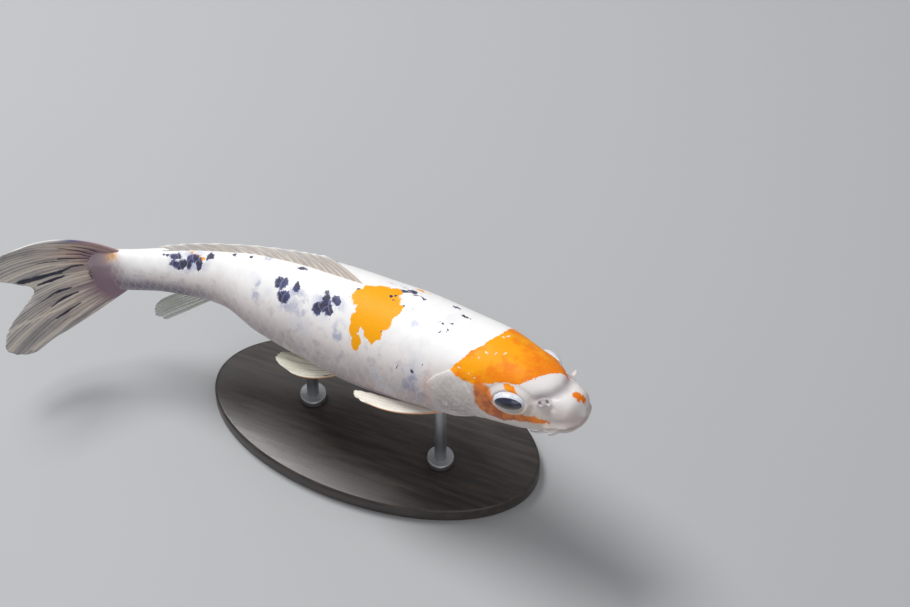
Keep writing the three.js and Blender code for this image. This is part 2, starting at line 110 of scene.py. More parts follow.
# A fin: its root and its edge as places, how far its rays bow, and what its z counts from, which is
# the back, the belly or the backbone. Then its rays, the corners of each, its thickness at the root
# and at the edge with the share lost between rays, its ripple in millimetres, how ragged its edge
# is as a share of a ray, and how many of its first rays are spines that don't branch.
FINS = {
    "dorsal": {
        "root": [(0.454, 0, -0.012), (0.84, 0, -0.012)],
        "tip": [(0.545, 0, 0.036), (0.6, 0, 0.028), (0.7, 0, 0.018), (0.81, 0, 0.015), (0.89, 0, 0.01)],
        "bow": [(0, 0, 0.007), (0, 0, 0)], "level": "rise",
        "rays": 22, "detail": 8, "thick": (1.6, 0.56, 0.3), "wave": 0.3, "ragged": 0.008, "spines": 3,
    },
    "anal": {
        "root": [(0.765, 0, -0.012), (0.835, 0, -0.012)],
        "tip": [(0.908, 0, 0.08), (0.93, 0, 0.066), (0.926, 0, 0.046), (0.908, 0, 0.027)],
        "bow": [(0, 0, 0.004), (0, 0, 0)], "level": "drop",
        "rays": 8, "detail": 10, "thick": (1.8, 0.56, 0.3), "wave": 0.3, "ragged": 0.015, "spines": 2,
    },
    "tail": {
        "root": [(0.965, 0, 0.046), (0.985, 0, 0), (0.965, 0, -0.044)],
        "tip": [
            (1.14, -0.04, 0.124), (1.205, -0.047, 0.136), (1.242, -0.049, 0.124), (1.222, -0.042, 0.09),
            (1.182, -0.03, 0.045), (1.15, -0.015, -0.003), (1.178, -0.024, -0.024),
            (1.236, -0.040, -0.046), (1.262, -0.047, -0.076), (1.246, -0.047, -0.104),
            (1.2, -0.041, -0.128), (1.12, -0.026, -0.118),
        ],
        "bow": [(0, 0, 0.014), (0, 0, -0.01)], "level": "axis",
        "rays": 19, "detail": 10, "thick": (2.2, 0.56, 0.3), "wave": 0.3, "ragged": 0.006, "spines": 0,
    },
    "pectoral": {
        "root": [(0.258, 0.058, -0.076), (0.284, 0.044, -0.088)],
        "tip": [
            (0.4, 0.112, -0.08), (0.428, 0.108, -0.078), (0.434, 0.098, -0.077), (0.41, 0.088, -0.079),
            (0.36, 0.075, -0.086),
        ],
        "bow": [(0, 0.012, -0.008), (0, 0.004, 0)], "level": "axis",
        "rays": 16, "detail": 8, "thick": (1.8, 0.56, 0.26), "wave": 0.3, "ragged": 0.008, "spines": 1,
    },
    "pelvic": {
        "root": [(0.488, 0.046, -0.096), (0.512, 0.03, -0.104)],
        "tip": [
            (0.588, 0.083, -0.108), (0.617, 0.08, -0.099), (0.634, 0.069, -0.093), (0.63, 0.053, -0.092),
            (0.6, 0.04, -0.099),
        ],
        "bow": [(0, 0.01, -0.007), (0, 0, 0)], "level": "axis",
        "rays": 9, "detail": 10, "thick": (1.8, 0.56, 0.26), "wave": 0.25, "ragged": 0.008, "spines": 1,
    },
}
FIN_STEPS, BRANCHING = 56, 0.42  # steps along a ray, and the share of it at which it branches
SKIN_NODES = (
    "head", "gill_cover_left", "gill_cover_right", "lower_jaw", "upper_lip", "lower_lip",
    "barbel_corner_left", "barbel_corner_right", "barbel_lip_left", "barbel_lip_right",
    "nostril_flap_left", "nostril_flap_right", "trunk", "tail_stem",
)

# Where the hind edge of the gill cover runs: way round from the back, share along the body.
GILL_EDGE = [
    (0.0, 0.196), (0.04, 0.198), (0.075, 0.214), (0.094, 0.235), (0.115, 0.26), (0.138, 0.274),
    (0.159, 0.275), (0.18, 0.263), (0.198, 0.247), (0.225, 0.222), (0.25, 0.19), (0.275, 0.155),
    (0.35, 0.14),
]
# Folds of the skin: points (s, w), depth and width in millimetres.
FOLDS = [
    ([(0.197, 0.1), (0.183, 0.115), (0.172, 0.134), (0.170, 0.15), (0.174, 0.166), (0.165, 0.19),
      (0.145, 0.212)], 0.75, 1.5),  # front of the gill cover
    ([(0.176, 0.172), (0.21, 0.181), (0.245, 0.19)], 0.4, 1.2),  # lower plate of the gill cover
    ([(0.036, 0.048), (0.044, 0.058), (0.049, 0.068), (0.048, 0.08), (0.044, 0.09)], 0.8, 1.5),  # muzzle
    ([(0.068, 0.096), (0.09, 0.112), (0.115, 0.123), (0.14, 0.122), (0.152, 0.108)], 0.35, 1.6),  # cheek
    ([(0.078, 0.07), (0.07, 0.078), (0.064, 0.088)], 0.3, 1.4),  # before the eye
]
# Swellings and hollows of the head: height in millimetres, s and its reach, w and its reach.
MOUNDS = [
    (1.3, 0.012, 0.012, 0.012, 0.03),  # bulb of the snout
    (0.8, 0.1, 0.026, 0.035, 0.03),  # brow
    (-2.2, 0.050, 0.022, 0.070, 0.020),  # hollow before the eye
    (0.5, 0.18, 0.02, 0.0, 0.07),  # nape
    (0.6, 0.135, 0.03, 0.155, 0.03),  # cheek
]
# Lips and the furrows beside them: height, level above the gape and reach, all in millimetres.
LIPS = [(1.0, 2.4, 1.7), (0.9, -2.6, 1.5), (-0.5, 6.4, 1.5), (-0.7, -6.0, 1.5)]
# A nostril's two openings: the way from its middle and the radius, in millimetres.
NOSTRIL_HOLES = [(-2.8, 1.35), (2.8, 1.2)]
# Flesh at the roots of the paired fins: its place, then its height and reach in millimetres.
FIN_FLESH = [(0.272, 0.05, -0.082, 1.6, 7.5), (0.502, 0.038, -0.1, 1.3, 6.0)]
VENT = 0.745


def smooth_table(xs, ys):
    """A smooth curve through a table, without overshoot, that takes an array."""
    xs, ys = np.asarray(xs, float), np.asarray(ys, float)
    slope = np.diff(ys) / np.diff(xs)
    tangent = np.empty(len(xs))
    tangent[0], tangent[-1] = slope[0], slope[-1]
    before, after = slope[:-1], slope[1:]
    total = before + after
    safe = np.where(total == 0, 1, total)
    tangent[1:-1] = np.where(before * after <= 0, 0, 2 * before * after / safe)

    def at(x):
        x = np.clip(x, xs[0], xs[-1])
        i = np.clip(np.searchsorted(xs, x, "right") - 1, 0, len(xs) - 2)
        width = xs[i + 1] - xs[i]
        t = (x - xs[i]) / width
        rise = ys[i] + t * t * (3 - 2 * t) * (ys[i + 1] - ys[i])
        return rise + width * (t * (1 - t) ** 2 * tangent[i] - t * t * (1 - t) * tangent[i + 1])

    return at


top_of, bottom_of, half_of, level_of, round_above, round_below = [
    smooth_table(SECTIONS[:, 0], SECTIONS[:, k]) for k in range(1, 7)
]
gill_edge = smooth_table(*zip(*GILL_EDGE))


def rises(x, low, high):
    """0 below low, 1 above high, smooth between."""
    t = np.clip((x - low) / (high - low), 0, 1)
    return t * t * (3 - 2 * t)


def bell(distance, width):
    """1 at no distance, dying away over a width on either side."""
    return np.exp(-((distance / width) ** 2))


def axes_at(s):
    """The fish's forward, left and up directions at each s."""
    bend = SWEEP * np.maximum(0, s - SWEEP_START) ** 2
    turn = np.radians(HEAD_TURN - bend - TAIL_CURL * np.maximum(0, s - 1))
    pitch, roll = math.radians(PITCH), math.radians(ROLL)
    flat = math.cos(pitch)
    forward = np.stack([np.cos(turn) * flat, -np.sin(turn) * flat, np.full_like(turn, math.sin(pitch))], -1)
    level = np.stack([np.sin(turn), np.cos(turn), np.zeros_like(turn)], -1)
    left = level * math.cos(roll) + np.cross(forward, level) * math.sin(roll)
    return forward, left, np.cross(forward, left)


def spine_points(at):
    """Points of the backbone at each s, with the pivot over the middle of the stand."""
    steps = axes_at((at[1:] + at[:-1]) / 2)[0] * ((at[1] - at[0]) * BODY)
    spine = np.vstack([np.zeros(3), -np.cumsum(steps, 0)])
    pivot = np.array([np.interp(PIVOT, at, spine[:, k]) for k in range(3)])
    return spine + ((0, PIVOT_SIDE, RIDE_HEIGHT) - pivot)


SPINE_AT = np.linspace(0, 1.3, 261)
SPINE = spine_points(SPINE_AT)


def place(s, y, z):
    """Points of the frame at places (s, y, z) of the fish."""
    s, y, z = np.broadcast_arrays(*[np.asarray(value, float) for value in (s, y, z)])
    forward, left, up = axes_at(s)
    spine = np.stack([np.interp(s, SPINE_AT, SPINE[:, k]) for k in range(3)], -1)
    ahead = np.minimum(s, 0) * -BODY
    return spine + forward * ahead[..., None] + left * (y * BODY)[..., None] + up * (z * BODY)[..., None]


def section(s, angle):
    """y and z of the body's section at an angle that is 0 on the left and a right angle on the back."""
    level = level_of(s)
    sine, cosine = np.sin(angle), np.cos(angle)
    reach = np.where(sine > 0, top_of(s) - level, level - bottom_of(s))
    roundness = np.where(sine > 0, round_above(s), round_below(s))
    squared = lambda value: np.sign(value) * np.abs(value) ** roundness
    return half_of(s) * squared(cosine), level + reach * squared(sine)


def round_table(s, angle):
    """w at each s and each angle of the left half."""
    y, z = section(s[:, None], angle[None, :])
    length = np.hypot(np.diff(y, axis=1), np.diff(z, axis=1))
    return np.hstack([np.cumsum(length[:, ::-1], 1)[:, ::-1], np.zeros((len(s), 1))])


# The way round the body, as a table over s and angle, and its inverse over s and share of the girth.
TABLE_S = np.linspace(0.0, 1.0, 241)
TABLE_ANGLE = np.linspace(-0.5 * math.pi, 0.5 * math.pi, 361)
TABLE_SHARE = np.linspace(0, 1, 361)
ROUND = round_table(TABLE_S, TABLE_ANGLE)
ANGLE_AT = np.array([np.interp(TABLE_SHARE * row[0], row[::-1], TABLE_ANGLE[::-1]) for row in ROUND])


def between(table, row, column):
    """A table's values at fractional rows and columns."""
    row = np.clip(row, 0, table.shape[0] - 1.000001)
    column = np.clip(column, 0, table.shape[1] - 1.000001)
    i, j = row.astype(int), column.astype(int)
    a, b = row - i, column - j
    low = table[i, j] * (1 - b) + table[i, j + 1] * b
    high = table[i + 1, j] * (1 - b) + table[i + 1, j + 1] * b
    return low * (1 - a) + high * a


def girth_at(s):
    """Half the girth at each s, from the middle of the back to the middle of the belly."""
    return np.interp(s, TABLE_S, ROUND[:, 0])


def round_at(s, angle):
    """w for each s and angle, the angle counted from the belly up the left side and down the right."""
    left = np.where(angle > math.pi / 2, math.pi - angle, angle)
    column = (left + math.pi / 2) / math.pi * (len(TABLE_ANGLE) - 1)
    w = between(ROUND, s * (len(TABLE_S) - 1), column)
    return np.where(angle > math.pi / 2, -w, w)


def on_body(s, w):
    """Points at (s, w) on the plain body."""
    share = np.abs(w) / girth_at(s)
    angle = between(ANGLE_AT, s * (len(TABLE_S) - 1), share * (len(TABLE_SHARE) - 1))
    y, z = section(s, angle)
    return place(s, np.where(w < 0, -y, y), z)


def surface(s, w, lift, step=0.002):
    """Points at (s, w), lifted off the plain body by millimetres."""
    along = on_body(np.minimum(s + step, 1), w) - on_body(s - step, w)
    across = on_body(s, w + step) - on_body(s, w - step)
    normal = np.cross(across, along)
    normal /= np.linalg.norm(normal, axis=-1, keepdims=True)
    return on_body(s, w) + normal * (np.asarray(lift) * MM)[..., None]


# ---- meshes ----


def deselect():
    bpy.ops.object.select_all(action="DESELECT")


def pick(*pieces):
    deselect()
    for piece in pieces:
        piece.select_set(True)
    bpy.context.view_layer.objects.active = pieces[0]


def grid_piece(name, across, along):
    """A flat grid with its own map, and each corner's place (u, v) on the unit square."""
    deselect()
    bpy.ops.mesh.primitive_grid_add(x_subdivisions=across, y_subdivisions=along, size=1)
    piece = bpy.context.object
    piece.name = piece.data.name = name
    piece.data.uv_layers[0].name = "OFBake"
    co = np.empty(len(piece.data.vertices) * 3)
    piece.data.vertices.foreach_get("co", co)
    u, v = co.reshape(-1, 3)[:, 0] + 0.5, co.reshape(-1, 3)[:, 1] + 0.5
    return piece, np.round(u * across) / across, np.round(v * along) / along


def per_corner(piece, name, values):
    """Writes a vector or a number for each face corner, so that nothing blends across a seam."""
    mesh = piece.data
    values = np.asarray(values, dtype=np.float32)
    if values.ndim == 1:
        values = np.outer(values, (1, 0, 0))
    corners = np.empty(len(mesh.loops), dtype=np.int32)
    mesh.loops.foreach_get("vertex_index", corners)
    attribute = mesh.attributes.new(name, "FLOAT_VECTOR", "CORNER")
    attribute.data.foreach_set("vector", values[corners].astype(np.float32).ravel())


def settle(piece, points):
    """Moves the corners to their points, closes the seams and turns the faces outwards."""
    piece.data.vertices.foreach_set("co", np.asarray(points, dtype=np.float32).ravel())
    piece.data.update()
    pick(piece)
    bpy.ops.object.mode_set(mode="EDIT")
    bpy.ops.mesh.select_all(action="SELECT")
    bpy.ops.mesh.remove_doubles(threshold=2e-6)
    bpy.ops.mesh.dissolve_degenerate(threshold=1e-7)
    bpy.ops.mesh.select_all(action="SELECT")
    bpy.ops.mesh.normals_make_consistent(inside=False)
    bpy.ops.object.mode_set(mode="OBJECT")
    bpy.ops.object.shade_smooth()


def move_map(piece, low, high):
    """Fits a piece's map into a box of the unit square."""
    layer = piece.data.uv_layers["OFBake"].data
    uv = np.empty(len(layer) * 2)
    layer.foreach_get("uv", uv)
    uv = np.asarray(low) + uv.reshape(-1, 2) * (np.asarray(high) - np.asarray(low))
    layer.foreach_set("uv", uv.ravel())


def line_distance(points, s, w):
    """Millimetres from places (s, w) to a line through points."""
    here = np.stack([s, w], -1) * BODY / MM
    best = np.full(s.shape, 1e9)
    for a, b in zip(points[:-1], points[1:]):
        a, b = np.array(a) * BODY / MM, np.array(b) * BODY / MM
        way = b - a
        t = np.clip(((here - a) @ way) / (way @ way), 0, 1)
        best = np.minimum(best, np.linalg.norm(here - a - t[..., None] * way, axis=-1))
    return best


# ---- the skin ----

RING_GAP = [(0.0, 0.0008), (0.018, 0.0009), (0.03, 0.0014), (0.07, 0.0014), (0.085, 0.0011),
            (0.14, 0.0011), (0.155, 0.0015), (0.2, 0.0018), (0.285, 0.0019), (0.33, 0.0085), (1.0, 0.0085)]
SNOUT_RINGS, TAIL_RINGS = 9, 8
TAIL_REACH = 1.036


def body_rings(total):
    """s and a closing share for each ring of the skin, from the snout's pole to the tail's end."""
    s = np.linspace(0, 1, 4001)
    count = np.cumsum(1 / np.interp(s, *zip(*RING_GAP))) * (s[1] - s[0])
    body = total - SNOUT_RINGS - TAIL_RINGS
    main = np.interp(np.linspace(0, count[-1], body + 1), count, s)
    quarter = np.linspace(0, math.pi / 2, SNOUT_RINGS + 1)[:-1]
    snout = -0.0018 * np.cos(quarter)
    tail = np.linspace(1, TAIL_REACH, TAIL_RINGS + 1)[1:]
    rings = np.concatenate([snout, main, tail])
    closing = np.ones(total + 1)
    closing[:SNOUT_RINGS] = np.sin(quarter)
    return rings, closing


def turn_shares(sides):
    """Angles round the body, closer together on its sides, from the belly and back to it."""
    angle = np.linspace(-math.pi / 2, 1.5 * math.pi, 2001)
    count = np.cumsum(1 + 0.45 * np.cos(angle) ** 2)
    count = (count - count[0]) / (count[-1] - count[0])
    half = np.interp(np.linspace(0, 0.5, sides // 2 + 1), count, angle)
    return np.concatenate([half, math.pi - half[:-1][::-1]])


def mouth_line(side):
    """Height of the gape at a distance to one side of the snout, in body lengths."""
    return -0.007 - 0.014 * (np.minimum(side, 0.056) / 0.052) ** 5


def brow_relief(s, turn):
    """The hollow between forehead and snout, with the ridge behind it, and the head's swellings."""
    groove = s - 0.036 - 9.0 * turn**2
    out = -2.2 * bell(groove, 0.0095) * (1 - rises(turn, 0.045, 0.075))
    out += 0.5 * bell(groove - 0.022, 0.012) * bell(turn, 0.045)
    for high, at_s, long, at_w, wide in MOUNDS:
        out += high * bell(s - at_s, long) * bell(turn - at_w, wide)
    return out


def mouth_relief(s, z, side):
    """Lips, the gape between them and the furrows that set them off."""
    height = (z - mouth_line(side)) * BODY / MM
    low = rises(0.032 - z, 0, 0.018)
    out = -2.9 * rises(-s, -0.10, -0.04) * rises(-height, 2.0, 5.5)
    out -= 3.0 * rises(-s, -0.050, -0.044) * bell(height, 0.8) * low
    front = rises(-s, -0.056, -0.040) * low
    for high, level, wide in LIPS:
        out += high * front * bell(height - level, wide)
    return out


def nostril_relief(s, turn):
    """A raised rim round two openings."""
    s, turn = (s - NOSTRIL[0]) * BODY / MM, (turn - NOSTRIL[1]) * BODY / MM
    along, across = 0.7 * (s + turn), 0.7 * (s - turn)
    out = 1.1 * (1 - rises(np.hypot(along / 5.4, across / 2.6), 0.72, 1.25))
    for centre, radius in NOSTRIL_HOLES:
        out -= 2.6 * (1 - rises(np.hypot((along - centre) / radius, across / radius), 0.55, 1.2))
    return out


def gill_relief(s, turn):
    """The gill cover's edge, which stands off the shoulder, and the groove behind it."""
    behind = (s - gill_edge(turn)) * BODY / MM
    cover = rises(turn, 0.075, 0.11) * (1 - rises(turn, 0.235, 0.275))
    out = 1.35 * (1 - rises(behind, -0.9, 0.5)) * rises(behind, -16, -3)
    out -= 0.9 * rises(behind, -0.2, 0.9) * (1 - rises(behind, 1.5, 6.0))
    out += 0.7 * bell(behind + 13, 9) * bell(turn - 0.15, 0.045)
    return cover * out


def throat_relief(s, turn):
    """The head narrows below the eyes and under the throat."""
    girth = girth_at(s)
    out = -1.0 * bell(np.abs(turn / girth - 0.70), 0.17) * rises(s, 0.085, 0.14) * (1 - rises(s, 0.18, 0.25))
    return out - 0.8 * bell(s - 0.12, 0.05) * bell(turn - girth, 0.02)


def root_relief(s, side, z, turn):
    """Flesh at the roots of the paired fins, and the vent."""
    out = bell((s - VENT) * BODY / MM, 5) * bell((turn - girth_at(s)) * BODY / MM, 5)
    for at_s, at_y, at_z, high, wide in FIN_FLESH:
        apart = np.sqrt((s - at_s) ** 2 + (side - at_y) ** 2 + (z - at_z) ** 2) * BODY / MM
        out += high * bell(apart, wide)
    return out


def relief(s, y, z, w):
    """How far the sculpted skin stands proud of the plain body, in millimetres."""
    side, turn = np.abs(y), np.abs(w)
    out = brow_relief(s, turn) + mouth_relief(s, z, side) + nostril_relief(s, turn)
    out += gill_relief(s, turn) + throat_relief(s, turn) + root_relief(s, side, z, turn)
    for points, depth, width in FOLDS:
        out -= depth * bell(line_distance(points, s, turn), width)
    return out


def eye_axes(side):
    """The eye's centre, and its directions ahead, down and outwards."""
    forward, left, up = axes_at(np.array(EYE["s"]))
    ahead, out, above = EYE_AXIS
    axis = forward * ahead + left * side * out + up * above
    axis /= np.linalg.norm(axis)
    front = forward - axis * (forward @ axis)
    front /= np.linalg.norm(front)
    under = np.cross(axis, front) * side
    return place(EYE["s"], side * EYE["y"], EYE["z"]), front, under, axis


def set_socket(points, side):
    """Sinks the skin behind the eyeball and raises the lids round it, and says how near each point is."""
    centre, front, under, axis = eye_axes(side)
    away = (points - centre) / MM
    ahead, below, out = away @ front, away @ under, away @ axis
    long, tall, deep = EYE_SIZE
    apart = np.hypot(ahead, below * long / tall)
    near = (apart < LID_REACH) & (out > -9)
    lower = 0.5 + 0.5 * np.sin(np.arctan2(below, ahead))
    ball = deep * np.sqrt(np.clip(1 - (apart / long) ** 2, 0, 1))
    crest = LID_CREST + 0.9 * lower
    lid = (0.7 + 1.1 * lower) * bell(apart - crest, 1.3 + 0.6 * lower)
    lid -= 0.5 * bell(apart - crest - 3.6, 1.6)
    wanted = out + lid
    opening = rises(apart, long - 2.5 - 0.5 * lower, long - 1.5 + 0.2 * lower)
    wanted = (ball - 0.9) * (1 - opening) + wanted * opening
    closeness = np.where(near, 1 - apart * (1.20 + 0.13 * lower) / LID_REACH, 0)
    return points + np.where(near, wanted - out, 0)[:, None] * axis * MM, closeness


def outward(grid):
    """The outward direction at each point of the rings, ahead at the snout's pole, none at the tail."""
    down = np.gradient(grid, axis=0)
    wrapped = np.concatenate([grid[:, -2:-1], grid, grid[:, 1:2]], 1)
    normal = np.cross(down, (wrapped[:, 2:] - wrapped[:, :-2]) / 2)
    normal /= np.maximum(np.linalg.norm(normal, axis=-1, keepdims=True), 1e-12)
    normal[0] = axes_at(np.zeros(1))[0][0]
    normal[-1] = 0
    return normal


def skin_shape(u, v, rings, sides, coat):
    """The skin's points, the place (s, w, height) of each, and how near an eye it is."""
    along, closing = body_rings(rings)
    ring, turn = np.round(v * rings).astype(int), np.round(u * sides).astype(int)
    s, close, angle = along[ring], closing[ring], turn_shares(sides)[turn]
    inside = np.clip(s, 0, 1)
    y, z = section(inside, angle)
    y, z = y * close, 0.0015 + (z - 0.0015) * close

    # Behind s = 1 the flesh thins to an edge inside the tail fin.
    thin = np.clip((s - 1) / (TAIL_REACH - 1), 0, 1)
    y = y * (1 - thin) ** 0.9 - (0.09 + 0.1 * np.minimum(1, np.abs(z) / 0.05)) * np.maximum(0, s - 0.982)
    z = z * np.sqrt(np.clip(1 - thin**2.4, 0, 1)) * (1 + 0.2 * thin)
    w = round_at(inside, angle)
    points = place(s, y, z)
    order = np.empty(u.size, dtype=int)
    order[ring * (sides + 1) + turn] = np.arange(u.size)
    normal = np.empty_like(points)
    normal[order] = outward(points[order].reshape(rings + 1, sides + 1, 3)).reshape(-1, 3)

    proud = relief(inside, y, z, w) * np.where(s < 0, close, 1)
    proud *= 1 - rises(s, 0.985, 1.0)
    proud -= coat * rises(s, 0.2, 0.285) * (1 - rises(s, 0.99, 1.0))
    points = points + normal * (proud * MM)[:, None]
    lid = np.zeros(len(points))
    for _, side in SIDES:
        points, closeness = set_socket(points, side)
        lid = np.maximum(lid, closeness)
    height = 1 - np.abs(w) / girth_at(inside)
    return points, np.stack([np.clip(s, 0, 1.2), w, height], -1), lid


def barbel_shape(u, v, barbel, side):
    """A round feeler that flares into the skin and tapers to a blunt tip."""
    root, tip = np.array(barbel["root"]), np.array(barbel["tip"])
    along = root + v[:, None] * (tip - root)
    along[:, 1] = side * (along[:, 1] + 0.012 * v * (1 - v))
    along[:, 2] -= 0.010 * v * (1 - v)
    radius = barbel["radius"] * (1 - 0.55 * v) * (1 + 0.9 * np.exp(-v * 14))
    radius *= np.sqrt(np.clip(1 - np.maximum(0, (v - 0.93) / 0.07) ** 2, 0, 1)) * (v > 0)
    first, second = [place(end[0], side * end[1], end[2]) for end in (root, tip)]
    forward = (second - first) / np.linalg.norm(second - first)
    one = np.cross(forward, (0, 0, 1.0))
    one /= np.linalg.norm(one)
    other = np.cross(forward, one)
    turn = u * 2 * math.pi
    ring = np.cos(turn)[:, None] * one + np.sin(turn)[:, None] * other
    return place(*along.T) + ring * (radius * BODY)[:, None]


def flap_shape(u, v, side):
    """The leaf of skin that stands between a nostril's two openings."""
    turn = u * 2 * math.pi
    open_part = (v > 0) & (v < 1)
    across = 2.5 * np.cos(turn) * np.sqrt(np.clip(1 - (v - 0.25) ** 2 / 0.5625, 0, 1)) * open_part
    thick = 0.42 * np.sin(turn) * np.sin(math.pi * np.clip(v, 0.02, 1) ** 0.5) * open_part
    along = thick - 0.7 * v**2
    diagonal = MM / BODY * 0.707
    s = NOSTRIL[0] - (along + across) * diagonal
    w = NOSTRIL[1] + (along - across) * diagonal
    return surface(s, side * w, 4.4 * v - 0.1)


# ---- scales ----

SCALES_FROM, SCALES_TO = 0.17, 0.985
FULL_GIRTH, ROW_TAPER = 0.317, 0.45  # half girth at the thickest, and its power that the rows follow
BACK_FIN_GAP = (0.452, 0.85)  # where no scale lies on the middle of the back
THROAT_FROM, THROAT_EDGE = 0.235, 0.225  # beyond this w, no scale starts ahead of this s
# How far the scales reach in under the gill cover, and how far where w lies in the span.
TUCKED, TUCKED_DEEP, DEEP_SPAN = 0.012, 0.020, (0.09, 0.24)
SCALE_WIDTH, SCALE_LENGTH = 0.86, 1.62  # width of a scale in rows, and its length in spacings
MAP_ROUND, MAP_START, MAP_LENGTH = 0.66, 0.16, 0.86  # what the map's sides span, in body lengths


def scale_pattern(along, across):
    """One scale as a closed plate: its corners (share along, share across, side) and its faces."""
    deselect()
    bpy.ops.mesh.primitive_grid_add(x_subdivisions=across, y_subdivisions=along, size=1)
    piece = bpy.context.object
    bpy.ops.object.mode_set(mode="EDIT")
    bpy.ops.mesh.select_all(action="SELECT")
    bpy.ops.mesh.extrude_region_move(TRANSFORM_OT_translate={"value": (0, 0, 1)})
    bpy.ops.mesh.select_all(action="SELECT")
    bpy.ops.mesh.normals_make_consistent(inside=False)
    bpy.ops.object.mode_set(mode="OBJECT")
    corners = np.array([tuple(vertex.co) for vertex in piece.data.vertices])
    faces = [tuple(face.vertices) for face in piece.data.polygons]
    faces.sort(key=lambda face: min(corners[i][2] for i in face))
    bpy.data.objects.remove(piece)
    corners[:, 0] *= 2
    corners[:, 1] += 0.5
    corners[:, 2] = corners[:, 2] > 0.5
    return corners[:, [1, 0, 2]], np.array(faces)


def side_line(s):
    """w of the side line, just under the flank's widest part."""
    column = len(TABLE_ANGLE) // 2 - 4
    return float(between(ROUND, np.array([s * (len(TABLE_S) - 1)]), np.array([column]))[0])


def scale_centres(row_height, spacing):
    """s, w, row height and spacing at the root of every scale."""
    found, column, s = [], 0, SCALES_FROM
    while s < SCALES_TO:
        girth, line = float(girth_at(s)), side_line(s)
        high = row_height * (girth / FULL_GIRTH) ** ROW_TAPER
        rows = range(-math.ceil(line / high), math.ceil((girth - line) / high) + 1)
        around = [line + row * high for row in rows if (column + row) % 2 == 0]
        around = [w for w in around if 0.42 * high < w < girth - 0.4 * high]
        wanted = around + [-w for w in around]
        if column % 2 == 0:
            if not BACK_FIN_GAP[0] < s < BACK_FIN_GAP[1]:
                wanted.append(0.0)
            wanted.append(girth * 0.9999)
        for w in wanted:
            front = float(gill_edge(abs(w)))
            if abs(w) > THROAT_FROM:
                front = max(front, THROAT_EDGE)
            if s > front - (TUCKED_DEEP if DEEP_SPAN[0] < abs(w) < DEEP_SPAN[1] else TUCKED):
                found.append((s, w, high, spacing * high))
        column, s = column + 1, s + 0.5 * spacing * high
    return np.array(found)


def scale_mesh(name, centres, pattern, lift, thickness):
    """All the scales as one mesh, each plate laid along the body's surface."""
    corners, faces = pattern
    dice = np.random.default_rng(7)
    count = len(centres)
    a, b, top = [corners[None, :, k].repeat(count, 0) for k in range(3)]
    s0, w0, high, step = [centres[:, k, None] for k in range(4)]
    size = dice.uniform(0.97, 1.04, (count, 1))
    tilt = dice.uniform(-0.05, 0.05, (count, 1))
    luck = dice.uniform(0, 1, (count, 1))

    length = SCALE_LENGTH * step * size
    rear = length * (1 - 0.40 * np.abs(b) ** 2.3)
    along = a * rear
    width = SCALE_WIDTH * high * size * (0.60 + 0.40 * np.sin(np.minimum(1, a * 1.45) * math.pi / 2))
    s = np.clip(s0 + along, 0.003, 0.9985)
    w = w0 + b * width + tilt * along
    w = np.where(np.abs(w) > girth_at(s), -np.sign(w) * (2 * girth_at(s) - np.abs(w)), w)
    crown = 0.03 * (1 - b**2) * np.sin(math.pi * np.minimum(1, a * 1.02))
    ramp = lift * (along / length)
    edge = np.maximum(rises(a, 0.72, 1.0), rises(np.abs(b), 0.72, 1.0))
    raised = -0.42 + ramp + crown - top * 0.05 * edge - (1 - top) * thickness
    points = surface(s, w, raised)

    mesh = bpy.data.meshes.new(name)
    flat = (faces[None] + (np.arange(count) * len(corners))[:, None, None]).reshape(-1, 4)
    mesh.from_pydata(points.reshape(-1, 3).tolist(), [], flat.tolist())
    piece = bpy.data.objects.new(name, mesh)
    bpy.context.collection.objects.link(piece)

    # A marking's edge steps a little from scale to scale: each reads its places drawn to its middle.
    pull = 0.22
    drawn = [s + (s0 + 0.62 * length - s) * pull, w + (w0 - w) * pull]
    fish = np.stack([*drawn, 1 - np.abs(w) / girth_at(s)], -1)
    per_corner(piece, "fish", fish.reshape(-1, 3))
    per_corner(piece, "scale", np.stack([a, b, luck + 0 * a], -1).reshape(-1, 3))

    # On the map each scale is a patch of its own at its root's place on the unrolled body.
    layer = mesh.uv_layers.new(name="OFBake")
    shrink = np.where(top > 0, 0.86, 1.0)
    u = 0.5 + (w0 + 0.40 * high * b * shrink) / MAP_ROUND
    v = (s0 + 0.42 * step - MAP_START) / MAP_LENGTH + (a - 0.5) * step * shrink
    uv = np.stack([np.clip(u, 0.001, 0.999), np.clip(v, 0.001, 0.999)], -1).reshape(-1, 2)
    layer.data.foreach_set("uv", uv[flat.ravel()].ravel())
    pick(piece)
    bpy.ops.object.shade_smooth_by_angle(angle=math.radians(35))
    return piece


# ---- fins ----


def fin_sheet(fin, side):
    """A fin as a sheet of rays: u runs along its root and v along a ray."""
    tables = []
    for rows in (fin["root"], fin["tip"], fin["bow"]):
        at = np.linspace(0, 1, len(rows))
        tables.append([smooth_table(at, [row[k] for row in rows]) for k in range(3)])
    root, tip, bow = tables
    base = {"rise": top_of, "drop": bottom_of, "axis": lambda s: s * 0}[fin["level"]]
    sign = -1 if fin["level"] == "drop" else 1

    def at(u, v):
        along = [root[k](u) * (1 - v) + tip[k](u) * v + 4 * v * (1 - v) * bow[k](u) for k in range(3)]
        return place(along[0], side * along[1], base(along[0]) + sign * along[2])

    return at


